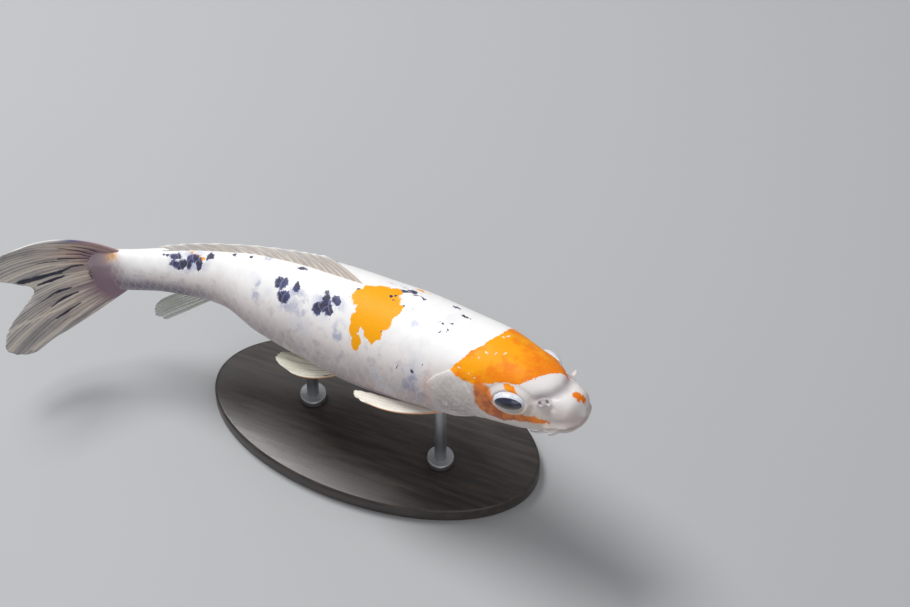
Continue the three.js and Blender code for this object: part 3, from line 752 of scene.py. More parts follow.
def fin_piece(name, fin, side):
    """A closed, thin fin with raised rays that branch towards its edge."""
    rays, wave, ragged = fin["rays"], fin["wave"], fin["ragged"]
    piece, u, v = grid_piece(name, rays * fin["detail"] * 2, FIN_STEPS)
    face = np.where(u <= 0.5, 1.0, -1.0)
    way = np.where(u <= 0.5, 2 * u, 2 - 2 * u)
    at = fin_sheet(fin, side)
    count = way * rays
    once, twice = [0.5 - 0.5 * np.cos(waves * math.pi * count) for waves in (2, 4)]
    branched = rises(v, BRANCHING, BRANCHING + 0.2) * (count > fin["spines"])
    ridge = (once**1.6) * (1 - branched) + (twice**1.3) * branched
    proud = ridge * (1 - 0.85 * rises(v, 0.82, 1.0))
    notch = ragged * (1 - once) * rises(v, 0.6, 1.0)
    notch += 0.5 * ragged * (0.5 + 0.5 * np.sin(way * 37 + 1.3)) * rises(v, 0.7, 1)
    reach = v * (1 - notch)
    step = 0.008
    down = at(way, reach + step) - at(way, reach - step)
    over = at(np.minimum(1, way + step), reach) - at(np.maximum(0, way - step), reach)
    normal = np.cross(over, down)
    normal /= np.linalg.norm(normal, axis=-1, keepdims=True)

    root, edge, hollow = fin["thick"]
    body = root + (edge - root) * np.clip(v, 0, 1) ** 0.7
    half = 0.5 * body * (1 - hollow * (1 - proud))
    half = half * np.sqrt(np.clip(1 - np.maximum(0, (v - 0.955) / 0.045) ** 2, 0, 1))
    margin = np.minimum(way, 1 - way) * rays
    half = half * np.sqrt(np.clip(margin / 0.16, 0, 1)) * (v > 0)
    fold = wave * v * np.sin(2 * math.pi * count * 0.5 + 0.6)
    fold += 0.6 * wave * v * np.sin(way * 9 + v * 4)
    points = at(way, reach) + normal * ((face * half + fold) * MM)[:, None]
    per_corner(piece, "ray", np.stack([count, v, ridge], -1))
    settle(piece, points)
    return piece


# ---- materials ----


def tint(red, green, blue):
    """A colour given in screen values from 0 to 255, as the linear colour a socket takes."""
    linear = [c / 255 / 12.92 if c <= 10 else ((c / 255 + 0.055) / 1.055) ** 2.4 for c in (red, green, blue)]
    return (*linear, 1.0)


def arithmetic(operation, turned=False):
    """A method that writes one of Python's operators as a Math node."""
    def method(self, other):
        values = (other, self) if turned else (self, other)
        return self.graph.math(operation, *values)
    return method


class Value:
    """A shader socket that ordinary arithmetic can be written with; a | b is the greater of the two."""

    def __init__(self, graph, socket):
        self.graph, self.socket = graph, socket

    __add__ = __radd__ = arithmetic("ADD")
    __mul__ = __rmul__ = arithmetic("MULTIPLY")
    __or__ = __ror__ = arithmetic("MAXIMUM")
    __sub__, __rsub__ = arithmetic("SUBTRACT"), arithmetic("SUBTRACT", turned=True)
    __truediv__, __rtruediv__ = arithmetic("DIVIDE"), arithmetic("DIVIDE", turned=True)


class Graph:
    """One material and the nodes that make it."""

    def __init__(self, name, **sockets):
        self.material = bpy.data.materials.new(name)
        self.material.use_nodes = True
        self.tree = self.material.node_tree
        self.shader = self.tree.nodes["Principled BSDF"]
        for key, value in sockets.items():
            self.shader.inputs[key.replace("_", " ")].default_value = value

    def node(self, kind, settings=None, inputs=None, output=0):
        """A new node: its type, its settings, then what its sockets hold or are linked to."""
        made = self.tree.nodes.new(kind)
        for key, value in (settings or {}).items():
            if key == "stops":
                stops = made.color_ramp.elements
                while len(stops) < len(value):
                    stops.new(0.5)
                for stop, (at, shade) in zip(stops, value):
                    stop.position, stop.color = at, shade
            else:
                setattr(made, key, value)
        for key, value in (inputs or {}).items():
            if isinstance(value, Value):
                self.tree.links.new(value.socket, made.inputs[key])
            else:
                made.inputs[key].default_value = value
        return Value(self, made.outputs[output])

    def math(self, operation, *values, clamp=False):
        settings = {"operation": operation, "use_clamp": clamp}
        return self.node("ShaderNodeMath", settings, dict(enumerate(values)))

    def vector(self, operation, *values):
        output = "Value" if operation in ("LENGTH", "DOT_PRODUCT") else "Vector"
        return self.node("ShaderNodeVectorMath", {"operation": operation}, dict(enumerate(values)), output)

    def mix(self, factor, one, other):
        """one where factor is 0 and other where it is 1; each is a socket or three screen values."""
        one, other = [shade if isinstance(shade, Value) else tint(*shade) for shade in (one, other)]
        return self.node("ShaderNodeMix", {"data_type": "RGBA"}, {0: factor, 6: one, 7: other}, 2)

    def rise(self, value, low, high, start=0.0, end=1.0):
        """start below low and end above high, with a smooth step between."""
        inputs = {"Value": value, "From Min": low, "From Max": high, "To Min": start, "To Max": end}
        return self.node("ShaderNodeMapRange", {"interpolation_type": "SMOOTHSTEP"}, inputs)

    def noise(self, at, scale, detail=2.0, roughness=0.5, output="Fac"):
        inputs = {"Vector": at, "Scale": scale, "Detail": detail, "Roughness": roughness}
        return self.node("ShaderNodeTexNoise", {}, inputs, output)

    def cells(self, at, scale):
        return self.node("ShaderNodeTexVoronoi", {"feature": "F1"}, {"Vector": at, "Scale": scale})

    def shake(self, at, scale):
        """A noise as a vector, which points any way and is about nought in the middle."""
        return self.vector("SUBTRACT", self.noise(at, scale, 2.0, 0.6, "Color"), (0.5, 0.5, 0.5))

    def shift(self, at, shake, first, second=None):
        """Places (first, second) moved by a shake times so much in each."""
        return self.vector("MULTIPLY_ADD", shake, (first, second or first, 0), at)

    def stretched(self, at, scale):
        return self.node("ShaderNodeMapping", {}, {"Vector": at, "Scale": scale})

    def attribute(self, name):
        return self.node("ShaderNodeAttribute", {"attribute_name": name}, output="Vector")

    def object_place(self):
        return self.node("ShaderNodeTexCoord", output="Object")

    def parts(self, vector):
        """The three numbers of a vector."""
        first = self.node("ShaderNodeSeparateXYZ", {}, {0: vector})
        return [Value(self, socket) for socket in first.socket.node.outputs]

    def least(self, values):
        """The least of some numbers."""
        return reduce(partial(self.math, "MINIMUM"), values)

    def nearest(self, at, spots):
        """How far out in the closest of the spots (s, w, half length, half width); 1 is its edge."""
        apart = []
        for s, w, long, wide in spots:
            scaled = self.vector("MULTIPLY_ADD", at, (1 / long, 1 / wide, 0), (-s / long, -w / wide, 0))
            apart.append(self.vector("LENGTH", scaled))
        return self.least(apart)

    def spots(self, at, spots, soft):
        """1 inside any of the spots and 0 outside them."""
        return self.rise(self.nearest(at, spots), 1 - soft, 1 + soft, 1.0, 0.0)

    def stripe(self, at, points, soft):
        """1 along a line of points (s, w, half width) and 0 away from it."""
        flat = self.vector("MULTIPLY", at, (1, 1, 0))
        ratios = []
        for (s, w, wide), (to_s, to_w, to_wide) in zip(points[:-1], points[1:]):
            way, square = (to_s - s, to_w - w, 0), (to_s - s) ** 2 + (to_w - w) ** 2
            from_start = self.vector("SUBTRACT", flat, (s, w, 0))
            share = self.math("DIVIDE", self.vector("DOT_PRODUCT", from_start, way), square, clamp=True)
            foot = self.vector("MULTIPLY", self.spread(share), way)
            apart = self.vector("LENGTH", self.vector("SUBTRACT", from_start, foot))
            ratios.append(apart / (share * (to_wide - wide) + wide))
        return self.rise(self.least(ratios), 1 - soft, 1 + soft, 1.0, 0.0)

    def spread(self, value):
        """A number as a vector of three equal parts."""
        return self.node("ShaderNodeCombineXYZ", {}, {0: value, 1: value, 2: value})

    def curve(self, value, points, low, high):
        """A line through points (x, y), read at value; x and y lie between low and high."""
        shift = lambda number: (number - low) / (high - low)
        stops = [(shift(x), (*[shift(y)] * 3, 1)) for x, y in points]
        read = self.node("ShaderNodeValToRGB", {"stops": stops}, {0: (value - low) / (high - low)})
        return read * (high - low) + low

    def finish(self, colour, roughness, bump, strength, depth, **driven):
        """Links the finished colour, roughness and relief to the shader."""
        normal = self.node("ShaderNodeBump", {}, {"Strength": strength, "Distance": depth, "Height": bump})
        ends = {"Base Color": colour, "Roughness": roughness, "Normal": normal}
        ends.update((key.replace("_", " "), value) for key, value in driven.items())
        for key, value in ends.items():
            if isinstance(value, Value):
                self.tree.links.new(value.socket, self.shader.inputs[key])
            else:
                self.shader.inputs[key].default_value = value
        return self.material


# The markings, as spots (s, w, half length, half width) on the unrolled body, and among them some painted
# light and shade.
INK = [
    (0.871, -0.0113, 0.009, 0.0032), (0.851, -0.0150, 0.012, 0.0070), (0.854, -0.0280, 0.0080, 0.0062),
    (0.839, -0.0318, 0.011, 0.0092), (0.825, -0.0296, 0.010, 0.0090), (0.813, -0.0206, 0.014, 0.0090),
    (0.798, -0.0303, 0.0062, 0.0130), (0.780, -0.0154, 0.007, 0.0058), (0.731, -0.0096, 0.0035, 0.0055),
    (0.697, -0.0106, 0.0022, 0.0030), (0.524, -0.0747, 0.012, 0.012), (0.511, -0.0674, 0.013, 0.013),
    (0.502, -0.0742, 0.009, 0.009), (0.515, -0.0545, 0.008, 0.007), (0.520, -0.0445, 0.005, 0.005),
    (0.494, -0.0519, 0.009, 0.007), (0.615, -0.0487, 0.012, 0.012), (0.603, -0.0723, 0.013, 0.012),
    (0.582, -0.0496, 0.006, 0.008), (0.590, -0.0112, 0.008, 0.006), (0.469, -0.0125, 0.0026, 0.0024),
    (0.476, -0.0333, 0.0022, 0.0022), (0.496, -0.0879, 0.0022, 0.0020), (0.406, -0.0039, 0.0028, 0.0028),
    (0.398, 0.0000, 0.0034, 0.0020), (0.397, -0.0105, 0.0026, 0.0026), (0.389, -0.0159, 0.0030, 0.0032),
    (0.383, -0.0760, 0.0030, 0.0028), (0.369, -0.0164, 0.0034, 0.0038), (0.356, -0.0185, 0.0040, 0.0012),
    (0.393, 0.0220, 0.010, 0.0045), (0.381, 0.0300, 0.010, 0.0060), (0.362, 0.0215, 0.012, 0.0045),
    (0.349, 0.0202, 0.005, 0.0022), (0.294, -0.0152, 0.0016, 0.0016), (0.285, -0.0226, 0.0026, 0.0014),
    (0.272, -0.0097, 0.0032, 0.0016), (0.281, -0.0358, 0.0028, 0.0024), (0.267, -0.0301, 0.0020, 0.0018),
    (0.260, 0.0210, 0.012, 0.0028), (0.293, 0.0345, 0.010, 0.0022), (0.336, -0.1263, 0.0013, 0.0060),
    (0.306, -0.1248, 0.0018, 0.0055), (0.287, -0.1075, 0.0018, 0.0024),
    # The far side, which carries on in the same manner.
    (0.560, 0.060, 0.013, 0.012), (0.545, 0.078, 0.009, 0.010), (0.440, 0.095, 0.010, 0.009),
    (0.690, 0.045, 0.009, 0.009), (0.833, 0.0243, 0.010, 0.007), (0.822, 0.0217, 0.007, 0.006),
]
INK_HAZE = [
    (0.473, -0.1032, 0.012, 0.020), (0.665, -0.0086, 0.011, 0.006), (0.591, -0.0848, 0.022, 0.016),
    (0.577, -0.0624, 0.014, 0.014), (0.506, -0.0562, 0.030, 0.024), (0.562, -0.0808, 0.014, 0.020),
    (0.301, -0.1396, 0.010, 0.012), (0.413, 0.0333, 0.020, 0.004), (0.664, -0.0721, 0.008, 0.018),
    (0.331, -0.0402, 0.008, 0.008), (0.821, -0.0256, 0.040, 0.020), (0.301, -0.1646, 0.030, 0.012),
    (0.555, 0.068, 0.022, 0.024), (0.700, 0.060, 0.014, 0.014),
]
SADDLE = [
    (0.423, -0.0232, 0.048, 0.034), (0.408, -0.0583, 0.037, 0.030), (0.400, -0.0854, 0.020, 0.019),
    (0.441, -0.0685, 0.013, 0.036), (0.4325, -0.112, 0.0085, 0.012), (0.407, 0.0060, 0.018, 0.011),
    (0.441, -0.045, 0.014, 0.017),
    (0.384, -0.030, 0.016, 0.020), (0.370, 0.0455, 0.019, 0.0040),
]
CHEEK = [
    (0.170, -0.097, 0.0105), (0.160, -0.106, 0.0190), (0.158, -0.120, 0.0195), (0.147, -0.127, 0.0185),
    (0.127, -0.1285, 0.0140), (0.106, -0.1200, 0.0085), (0.085, -0.1070, 0.0068), (0.062, -0.0950, 0.0052),
    (0.038, -0.083, 0.0020),
]
# A painted highlight along the edge of the upper lip, as a line of points (s, w, half width).
LIP_HIGHLIGHT = [
    (0.047, 0.110, 0.0018), (0.034, 0.097, 0.0024), (0.020, 0.074, 0.0024), (0.009, 0.060, 0.0016),
]
# Painted shade in the hollow between forehead and snout, as a line of points (s, w, half width).
GROOVE_SHADE = [
    (0.062, 0.056, 0.012), (0.043, 0.028, 0.008), (0.036, 0.0, 0.007), (0.043, -0.028, 0.008),
    (0.060, -0.050, 0.010),
]
# One spot for both sides of the head, with w as if it were the left one.
SANDY_CHEEK = [(0.075, 0.094, 0.040, 0.016)]
SILVER_COVER = [(0.218, 0.142, 0.046, 0.052)]
ROSY_EDGE = [(0.272, 0.158, 0.009, 0.04)]
CAP_FRINGE = [(0.158, -0.090, 0.007), (0.150, -0.092, 0.006), (0.144, -0.096, 0.005)]
ORANGE_BITS = [
    (0.114, -0.067, 0.014, 0.0065), (0.0165, 0.0015, 0.0070, 0.0075), (0.009, 0.0070, 0.0045, 0.0052),
    (0.818, -0.009, 0.006, 0.0026), (0.806, -0.014, 0.009, 0.0030), (0.794, -0.018, 0.005, 0.0024),
    (0.979, -0.010, 0.004, 0.0024), (0.988, -0.018, 0.003, 0.0018),
]
# Painted shade on the root of the tail, in a dark mauve.
TAIL_ROOT_SHADE = (138, 112, 124)
# Painted glints on the wet orange cap, where the white shows through.
CAP_GLINTS = [
    (0.174, 0.010, 0.0026, 0.0020), (0.172, 0.020, 0.0020, 0.0028), (0.180, -0.034, 0.0030, 0.0018),
    (0.154, -0.019, 0.0016, 0.0020), (0.214, -0.080, 0.0030, 0.0016), (0.193, -0.081, 0.0018, 0.0013),
    (0.182, -0.083, 0.0014, 0.0014), (0.166, -0.026, 0.0012, 0.0030), (0.186, -0.050, 0.0014, 0.0020),
    (0.075, 0.045, 0.0020, 0.0040), (0.100, 0.052, 0.0016, 0.0030),
]
# The head's orange cap: w of its near edge and of its far edge at s, and s of its hind edge at w.
CAP_NEAR = [
    (0.05, 0.026), (0.068, 0.003), (0.078, -0.016), (0.089, -0.035), (0.108, -0.054), (0.130, -0.063),
    (0.151, -0.079), (0.177, -0.095), (0.2, -0.1), (0.236, -0.091),
]
CAP_FAR = [(0.045, 0.034), (0.07, 0.056), (0.1, 0.068), (0.14, 0.075), (0.2, 0.085)]
CAP_HIND = [(-0.1, 0.238), (-0.067, 0.219), (-0.044, 0.205), (-0.019, 0.192), (0.012, 0.184), (0.09, 0.190)]


class FishGraph(Graph):
    """A material of the fish's surface, with the markings that its skin and scales share."""

    def __init__(self, name, **sockets):
        super().__init__(name, **sockets)
        self.here, self.plain = self.object_place(), self.attribute("fish")
        self.s, self.w, self.height = self.parts(self.plain)
        wide, self.fine = self.shake(self.here, 110), self.shake(self.here, 480)
        # Places shaken more, for ragged edges, and less, for neat ones.
        self.loose = self.shift(self.shift(self.plain, wide, 0.011), self.fine, 0.008)
        self.close = self.shift(self.shift(self.plain, wide, 0.006), self.fine, 0.004)
        self.patches = self.noise(self.here, 60, 3.0, 0.6)
        self.mottle = self.noise(self.here, 150, 2.0, 0.6)
        self.grain = self.noise(self.here, 700, 2.0, 0.6)
        self.flecks = self.noise(self.here, 380, 3.0, 0.65)

    def markings(self):
        """The fish's colour, and where it is black, where orange and where its gill cover is."""
        ground, cover = self.head_ground(self.body_ground())
        colour, orange = self.orange_marks(ground)
        colour, ink = self.ink_marks(colour)
        return self.tail_root(colour), ink, orange, cover

    def body_ground(self):
        """White, mauve and mottled low on the flanks, warm on the belly, with painted shade, dark and blue,
        under the narrow part before the tail.
        """
        body = self.rise(self.s, 0.2, 0.3)
        ground = self.mix(self.rise(self.height, 0.50, 0.80), (226, 216, 213), (246, 245, 244))
        low = self.rise(self.height, 0.62, 0.34) * self.rise(self.patches, 0.22, 0.58, 0.35, 1.0) * body
        ground = self.mix(low * 0.8, ground, (164, 150, 152))
        dapple = self.rise(self.height, 0.78, 0.5) * self.rise(self.mottle, 0.52, 0.68) * body
        ground = self.mix(dapple * 0.42, ground, (158, 154, 168))
        ground = self.mix(self.rise(self.height, 0.16, 0.02), ground, (222, 208, 198))
        cool = self.rise(self.noise(self.here, 45, 2.0), 0.55, 0.7) * body
        ground = self.mix(cool * 0.28, ground, (196, 206, 228))
        # Painted shade: the underside of the narrow part before the tail is darkened to a blue grey.
        stem_underside_shade = self.rise(self.s, 0.74, 0.86) * self.rise(self.height, 0.56, 0.30)
        return self.mix(stem_underside_shade * 0.85, ground, (98, 92, 112))

    def head_ground(self, ground):
        """Greyer cheeks, painted shade on the front of the head and, in mauve, on the muzzle, and a silver
        gill cover with a rosy edge that carries painted sheen above, painted shade below and painted glints.
        """
        # Painted shade: the front of the head is greyed.
        ground = self.mix(self.rise(self.s, 0.15, 0.06) * 0.6, ground, (214, 208, 205))
        cheek = self.rise(self.s, 0.235, 0.16) * self.rise(self.height, 0.84, 0.62)
        ground = self.mix(cheek * 0.6, ground, (200, 190, 186))
        either, either_loose = [self.vector("ABSOLUTE", at) for at in (self.close, self.loose)]
        ground = self.mix(self.spots(either, SANDY_CHEEK, 0.6) * 0.45, ground, (196, 178, 150))
        # Painted shade: the snout's lower sides are tinted mauve.
        muzzle = self.rise(self.s, 0.035, 0.0) * self.rise(self.height, 0.95, 0.7)
        ground = self.mix(muzzle * 0.55, ground, (198, 178, 176))
        # Painted shade along the hollow before the snout.
        ground = self.mix(self.stripe(self.plain, GROOVE_SHADE, 0.9) * 0.7, ground, (166, 156, 162))
        # Painted light on the gill cover: lighter above as a painted sheen, darker below as painted shade,
        # and light flecks that are painted glints; the dark flecks are its mottling.
        silver = self.mix(self.rise(self.w * self.w, 0.010, 0.036), (204, 197, 192), (140, 131, 128))
        silver = self.mix(self.rise(self.flecks, 0.50, 0.66) * 0.6, silver, (226, 219, 212))
        silver = self.mix(self.rise(self.flecks, 0.46, 0.32) * 0.4, silver, (132, 126, 124))
        cover = self.spots(either_loose, SILVER_COVER, 0.45)
        ground = self.mix(cover * 0.75, ground, silver)
        return self.mix(self.spots(either, ROSY_EDGE, 0.7) * 0.5, ground, (206, 160, 142)), cover

    def orange_marks(self, ground):
        """The orange cap with painted glints in it, saddle and bits, the brown band on the cheek, the pale
        lids, and a painted highlight along the lips.
        """
        s, w, _ = self.parts(self.loose)
        near, far = [self.curve(s, edge, -0.25, 0.25) for edge in (CAP_NEAR, CAP_FAR)]
        hind = self.curve(w, CAP_HIND, -0.25, 0.25)
        cap = self.rise(w - near, -0.0012, 0.0012) * self.rise(hind - s, -0.0012, 0.0012)
        cap = cap * self.rise(far - w, -0.002, 0.002) * self.rise(s, 0.044, 0.050)
        # Painted glints: small white spots cut out of the orange.
        cap = cap * (1 - self.spots(self.loose, CAP_GLINTS, 0.3) * 0.85)
        fringe = self.stripe(self.loose, CAP_FRINGE, 0.3) * self.rise(self.mottle, 0.50, 0.56)
        saddle, bits = self.spots(self.loose, SADDLE, 0.05), self.spots(self.loose, ORANGE_BITS, 0.2)
        orange = cap | fringe | saddle | bits
        warm = self.mix(self.rise(self.patches, 0.34, 0.56), (243, 132, 2), (253, 166, 2))
        warm = self.mix(self.rise(self.s, 0.30, 0.36), warm, (247, 166, 1))
        warm = self.mix(self.rise(self.s, 0.13, 0.06) * 0.8, warm, (232, 108, 10))
        warm = self.mix(self.rise(self.grain, 0.5, 0.75) * 0.3, warm, (255, 192, 30))
        colour = self.mix(orange, ground, warm)
        brown = self.mix(self.rise(self.mottle, 0.38, 0.62), (172, 86, 36), (212, 122, 50))
        brown = self.mix(self.rise(self.w * self.w, 0.0128, 0.0085), brown, (226, 122, 20))
        colour = self.mix(self.stripe(self.loose, CHEEK, 0.22) * 0.94, colour, brown)
        outside, inside = [1 - edge / LID_REACH for edge in LID_EDGE]
        lids = self.rise(self.parts(self.attribute("lid"))[0], outside, inside)
        colour = self.mix(lids, colour, (238, 239, 243))
        # Painted highlight along the lips.
        lip = self.stripe(self.vector("ABSOLUTE", self.close), LIP_HIGHLIGHT, 0.6)
        return self.mix(lip * 0.7, colour, (248, 244, 240)), orange * (1 - lids)

    def ink_marks(self, colour):
        """Blue-black, with a paler haze where it lies under the scales."""
        haze = self.spots(self.loose, INK_HAZE, 0.5) * self.rise(self.mottle, 0.36, 0.6)
        veil = self.mix(self.rise(self.height, 0.56, 0.38), (140, 150, 186), (142, 140, 154))
        colour = self.mix(haze * 0.6, colour, veil)
        inside = self.nearest(self.shift(self.close, self.fine, 0.006), INK)
        ink = self.mix(self.rise(self.grain, 0.35, 0.65), (28, 23, 42), (52, 48, 84))
        ink = self.mix(self.rise(self.mottle, 0.48, 0.66) * 0.6, ink, (74, 80, 132))
        ink = self.mix(self.rise(inside, 0.72, 1.08) * 0.8, ink, (92, 100, 146))
        covered = self.rise(inside, 1.16, 0.92)
        return self.mix(covered * 0.96, colour, ink), covered

    def tail_root(self, colour):
        """Painted shade, in a dark mauve, on the fleshy root of the tail fin, most of it low down, with a
        tan patch on top.
        """
        hub = self.rise(self.s, 0.935, 1.0) * self.rise(self.height, 0.96, 0.66)
        hub = hub | self.rise(self.s, 0.976, 0.998) * 0.9
        colour = self.mix(hub * 0.9, colour, TAIL_ROOT_SHADE)
        tan = self.rise(self.s, 0.960, 0.980) * self.rise(self.s, 1.004, 0.986)
        tan = tan * self.rise(self.height, 0.70, 0.88) * self.rise(self.mottle, 0.36, 0.58, 0.5, 1.0)
        return self.mix(tan * 0.8, colour, (214, 160, 112))


def skin_material():
    graph = FishGraph("wet_skin", Specular_IOR_Level=0.25, Coat_Roughness=0.12)
    colour, _, orange, cover = graph.markings()
    pores = graph.rise(graph.cells(graph.here, 620), 0.0, 0.35)
    soft = graph.noise(graph.here, 260, 3.0, 0.6)
    fine = graph.noise(graph.here, 1400, 2.0, 0.6)
    relief = soft * 0.7 + pores * 0.3 + fine * 0.25 + cover * graph.flecks * 0.3
    roughness = graph.rise(soft, 0.3, 0.7, 0.38, 0.5) + orange * 0.12
    return graph.finish(colour, roughness, relief, 0.3, 0.0005, Coat_Weight=(1 - orange) * 0.14)


def scale_material():
    """The fish's colour, on scales with a pale rim, partly their clear edge and partly a painted highlight,
    and painted shade where they dip under others.
    """
    graph = FishGraph("wet_scales", Specular_IOR_Level=0.27, Coat_Roughness=0.14)
    colour, ink, orange, _ = graph.markings()
    a, b, luck = graph.parts(graph.attribute("scale"))
    under = graph.rise(a, 0.46, 0.28)
    # The pale rim is partly the scale's clear edge and partly a painted highlight.
    rim = graph.rise(a, 0.86, 1.0) | graph.rise(graph.math("ABSOLUTE", b), 0.80, 1.0)
    shade = graph.mix(orange, (214, 210, 214), (226, 118, 10))
    shade = graph.mix(ink, shade, (30, 28, 44))
    colour = graph.mix(under * 0.16, colour, shade)
    clear = graph.mix(orange, (236, 232, 232), (252, 176, 12))
    clear = graph.mix(ink, clear, (132, 138, 172))
    colour = graph.mix(rim * (ink * 0.4 + 0.25), colour, clear)
    bare = (1 - orange) * (1 - ink)
    colour = graph.mix(graph.rise(luck, 0.55, 1.0) * 0.12 * bare, colour, (206, 200, 206))
    rings = graph.math("SINE", (a * 52) + (b * b) * 16)
    growth = graph.noise(graph.here, 900, 2.0, 0.6)
    relief = rings * 0.14 + growth * 0.5
    roughness = graph.rise(growth, 0.3, 0.7, 0.36, 0.48) + orange * 0.12
    return graph.finish(colour, roughness, relief, 0.22, 0.0004, Coat_Weight=(1 - orange) * 0.16)


RAY_GAP = 0.05  # how far apart two rays are when a streak is drawn, as a share of a ray's length


def fin_material(name, spec):
    """Clear skin between pale rays, with dark streaks and a coloured front edge where the fin has them."""
    graph = Graph(name, Specular_IOR_Level=0.3, Coat_Weight=0.1, Coat_Roughness=0.2)
    ray, here = graph.attribute("ray"), graph.object_place()
    count, v, ridge = graph.parts(ray)
    cloud = graph.noise(here, 120, 3.0, 0.6)
    bands = graph.noise(graph.vector("MULTIPLY", ray, (0.62, 1.1, 0)), 1.0, 2.0, 0.7)
    skin = graph.mix(graph.rise(v, 0.0, 0.9), spec["near"], spec["far"])
    skin = graph.mix(graph.rise(cloud, 0.4, 0.65) * 0.35, skin, spec["cloud"])
    pale = graph.rise(ridge, 0.25, 0.85) * graph.rise(bands, 0.36, 0.56, 0.35, 1.0)
    colour = graph.mix(pale * spec["contrast"], skin, spec["rays"])
    if "bands" in spec:
        broad = graph.noise(graph.vector("MULTIPLY", ray, (0.85, 0.7, 0)), 1.0, 1.0, 0.5)
        colour = graph.mix(graph.rise(broad, 0.52, 0.64) * spec["bands"], colour, spec["rays"])
        colour = graph.mix(graph.rise(broad, 0.46, 0.34) * spec["bands"], colour, spec["cloud"])
    joints = graph.math("SINE", v * 150)
    colour = graph.mix(graph.rise(joints, 0.5, 1.0) * ridge * 0.12, colour, (176, 168, 150))
    thick = graph.rise(ridge, 0.2, 0.8, spec["clear"], 0.97)
    if "top" in spec:
        colour = graph.mix(graph.rise(v, 0.86, 0.97) * 0.9, colour, spec["top"])
    if "front" in spec:
        front = graph.rise(count, spec["front_width"], spec["front_width"] * 0.3)
        front_root = spec.get("front_root", spec["front"])
        edge = graph.mix(graph.rise(v, 0.62, 0.44), spec["front"], front_root)
        colour = graph.mix(front * 0.85, colour, edge)
        thick = thick | front
    if "root" in spec:
        swell = graph.noise(graph.vector("MULTIPLY", ray, (0.9, 0, 0)), 1.0, 1.0)
        out = v / ((swell * 0.6 + 0.7) * spec["root_reach"])
        warm = graph.rise(out, 1.6, 0.8) * graph.rise(count, 12, 5)
        colour = graph.mix(warm * 0.6, colour, (188, 146, 126))
        # Painted shade where the tail fin meets its root, in the colour given as root.
        base = graph.rise(out, 1.15, 0.5) * graph.rise(count, 0.4, 3.0, 0.3, 1.0)
        colour = graph.mix(base * 0.92, colour, spec["root"])
        thick = thick | base
    at = graph.shift(graph.vector("MULTIPLY", ray, (RAY_GAP, 1, 0)), graph.shake(here, 170), 0.018, 0.05)
    for key, shade, strength in (("pale", "rays", 0.55), ("streaks", "dark", 0.96)):
        strokes = []
        for line in spec.get(key, ()):
            points = [(number * RAY_GAP, reach, wide * RAY_GAP) for number, reach, wide in line]
            strokes.append(graph.stripe(at, points, 0.45))
        if strokes:
            drawn = reduce(Value.__or__, strokes)
            colour = graph.mix(drawn * strength, colour, spec[shade])
            thick = thick | drawn
    roughness = graph.rise(cloud, 0.3, 0.7, 0.34, 0.46)
    relief = joints * ridge * 0.2 + graph.noise(here, 800, 2.0)
    return graph.finish(colour, roughness, relief, 0.15, 0.0003, Alpha=thick)


def eye_material():
    """Dark iris and pupil under a clear coat, in a pale ring; out is in degrees from the eye's axis."""
    graph = Graph("eye", Coat_Weight=0.8, Coat_Roughness=0.03)
    out, here = graph.parts(graph.attribute("eye"))[0], graph.object_place()
    cloud = graph.noise(here, 420, 3.0, 0.6)
    flecks = graph.noise(here, 1500, 2.0, 0.7)
    iris = graph.mix(graph.rise(cloud, 0.35, 0.65), (18, 20, 42), (36, 42, 78))
    iris = graph.mix(graph.rise(flecks, 0.58, 0.74) * 0.3, iris, (104, 110, 146))
    colour = graph.mix(graph.rise(out, PUPIL, PUPIL - 3), iris, (5, 6, 12))
    ring = graph.rise(out, PUPIL - 2.5, PUPIL - 1) * graph.rise(out, PUPIL + 2, PUPIL)
    colour = graph.mix(ring * 0.25, colour, (110, 104, 96))
    white = graph.mix(graph.rise(cloud, 0.4, 0.7), (214, 220, 232), (240, 241, 244))
    colour = graph.mix(graph.rise(out, IRIS, IRIS + 3), colour, white)
    roughness = graph.rise(out, IRIS - 7, IRIS + 5, 0.10, 0.26)
    return graph.finish(colour, roughness, cloud, 0.05, 0.0002)


def wood_material(props):
    graph = Graph("dark_wood", Coat_Weight=0.25, Coat_Roughness=0.2)
    here = graph.object_place()
    waves = graph.noise(graph.stretched(here, (6.0, 60.0, 60.0)), 4.0, 5.0, 0.6)
    pores = graph.noise(graph.stretched(here, (40.0, 900.0, 900.0)), 1.0, 2.0)
    colour = graph.mix(graph.rise(waves, 0.35, 0.65), props.dark, props.light)
    colour = graph.mix(graph.rise(pores, 0.58, 0.7) * 0.6, colour, (22, 18, 16))
    roughness = graph.rise(waves, 0.3, 0.7, 0.38, 0.5)
    return graph.finish(colour, roughness, pores * -1.0, 0.15, 0.0003)


def steel_material():
    graph = Graph("brushed_steel", Metallic=1.0)
    here = graph.object_place()
    brush = graph.noise(graph.stretched(here, (300.0, 300.0, 5000.0)), 1.0, 3.0, 0.7)
    smudge = graph.noise(here, 60.0, 2.0)
    colour = graph.mix(brush, (158, 160, 164), (190, 192, 195))
    roughness = graph.rise(brush, 0.3, 0.7, 0.34, 0.46) + smudge * 0.06
    return graph.finish(colour, roughness, brush, 0.08, 0.0001)


def floor_material(props):
    graph = Graph("floor", Specular_IOR_Level=0.3)
    here = graph.object_place()
    colour = graph.mix(graph.noise(here, 2.0, 3.0), props.floor, [part + 4 for part in props.floor])
    return graph.finish(colour, 0.6, graph.noise(here, 300.0, 2.0), 0.05, 0.0005)


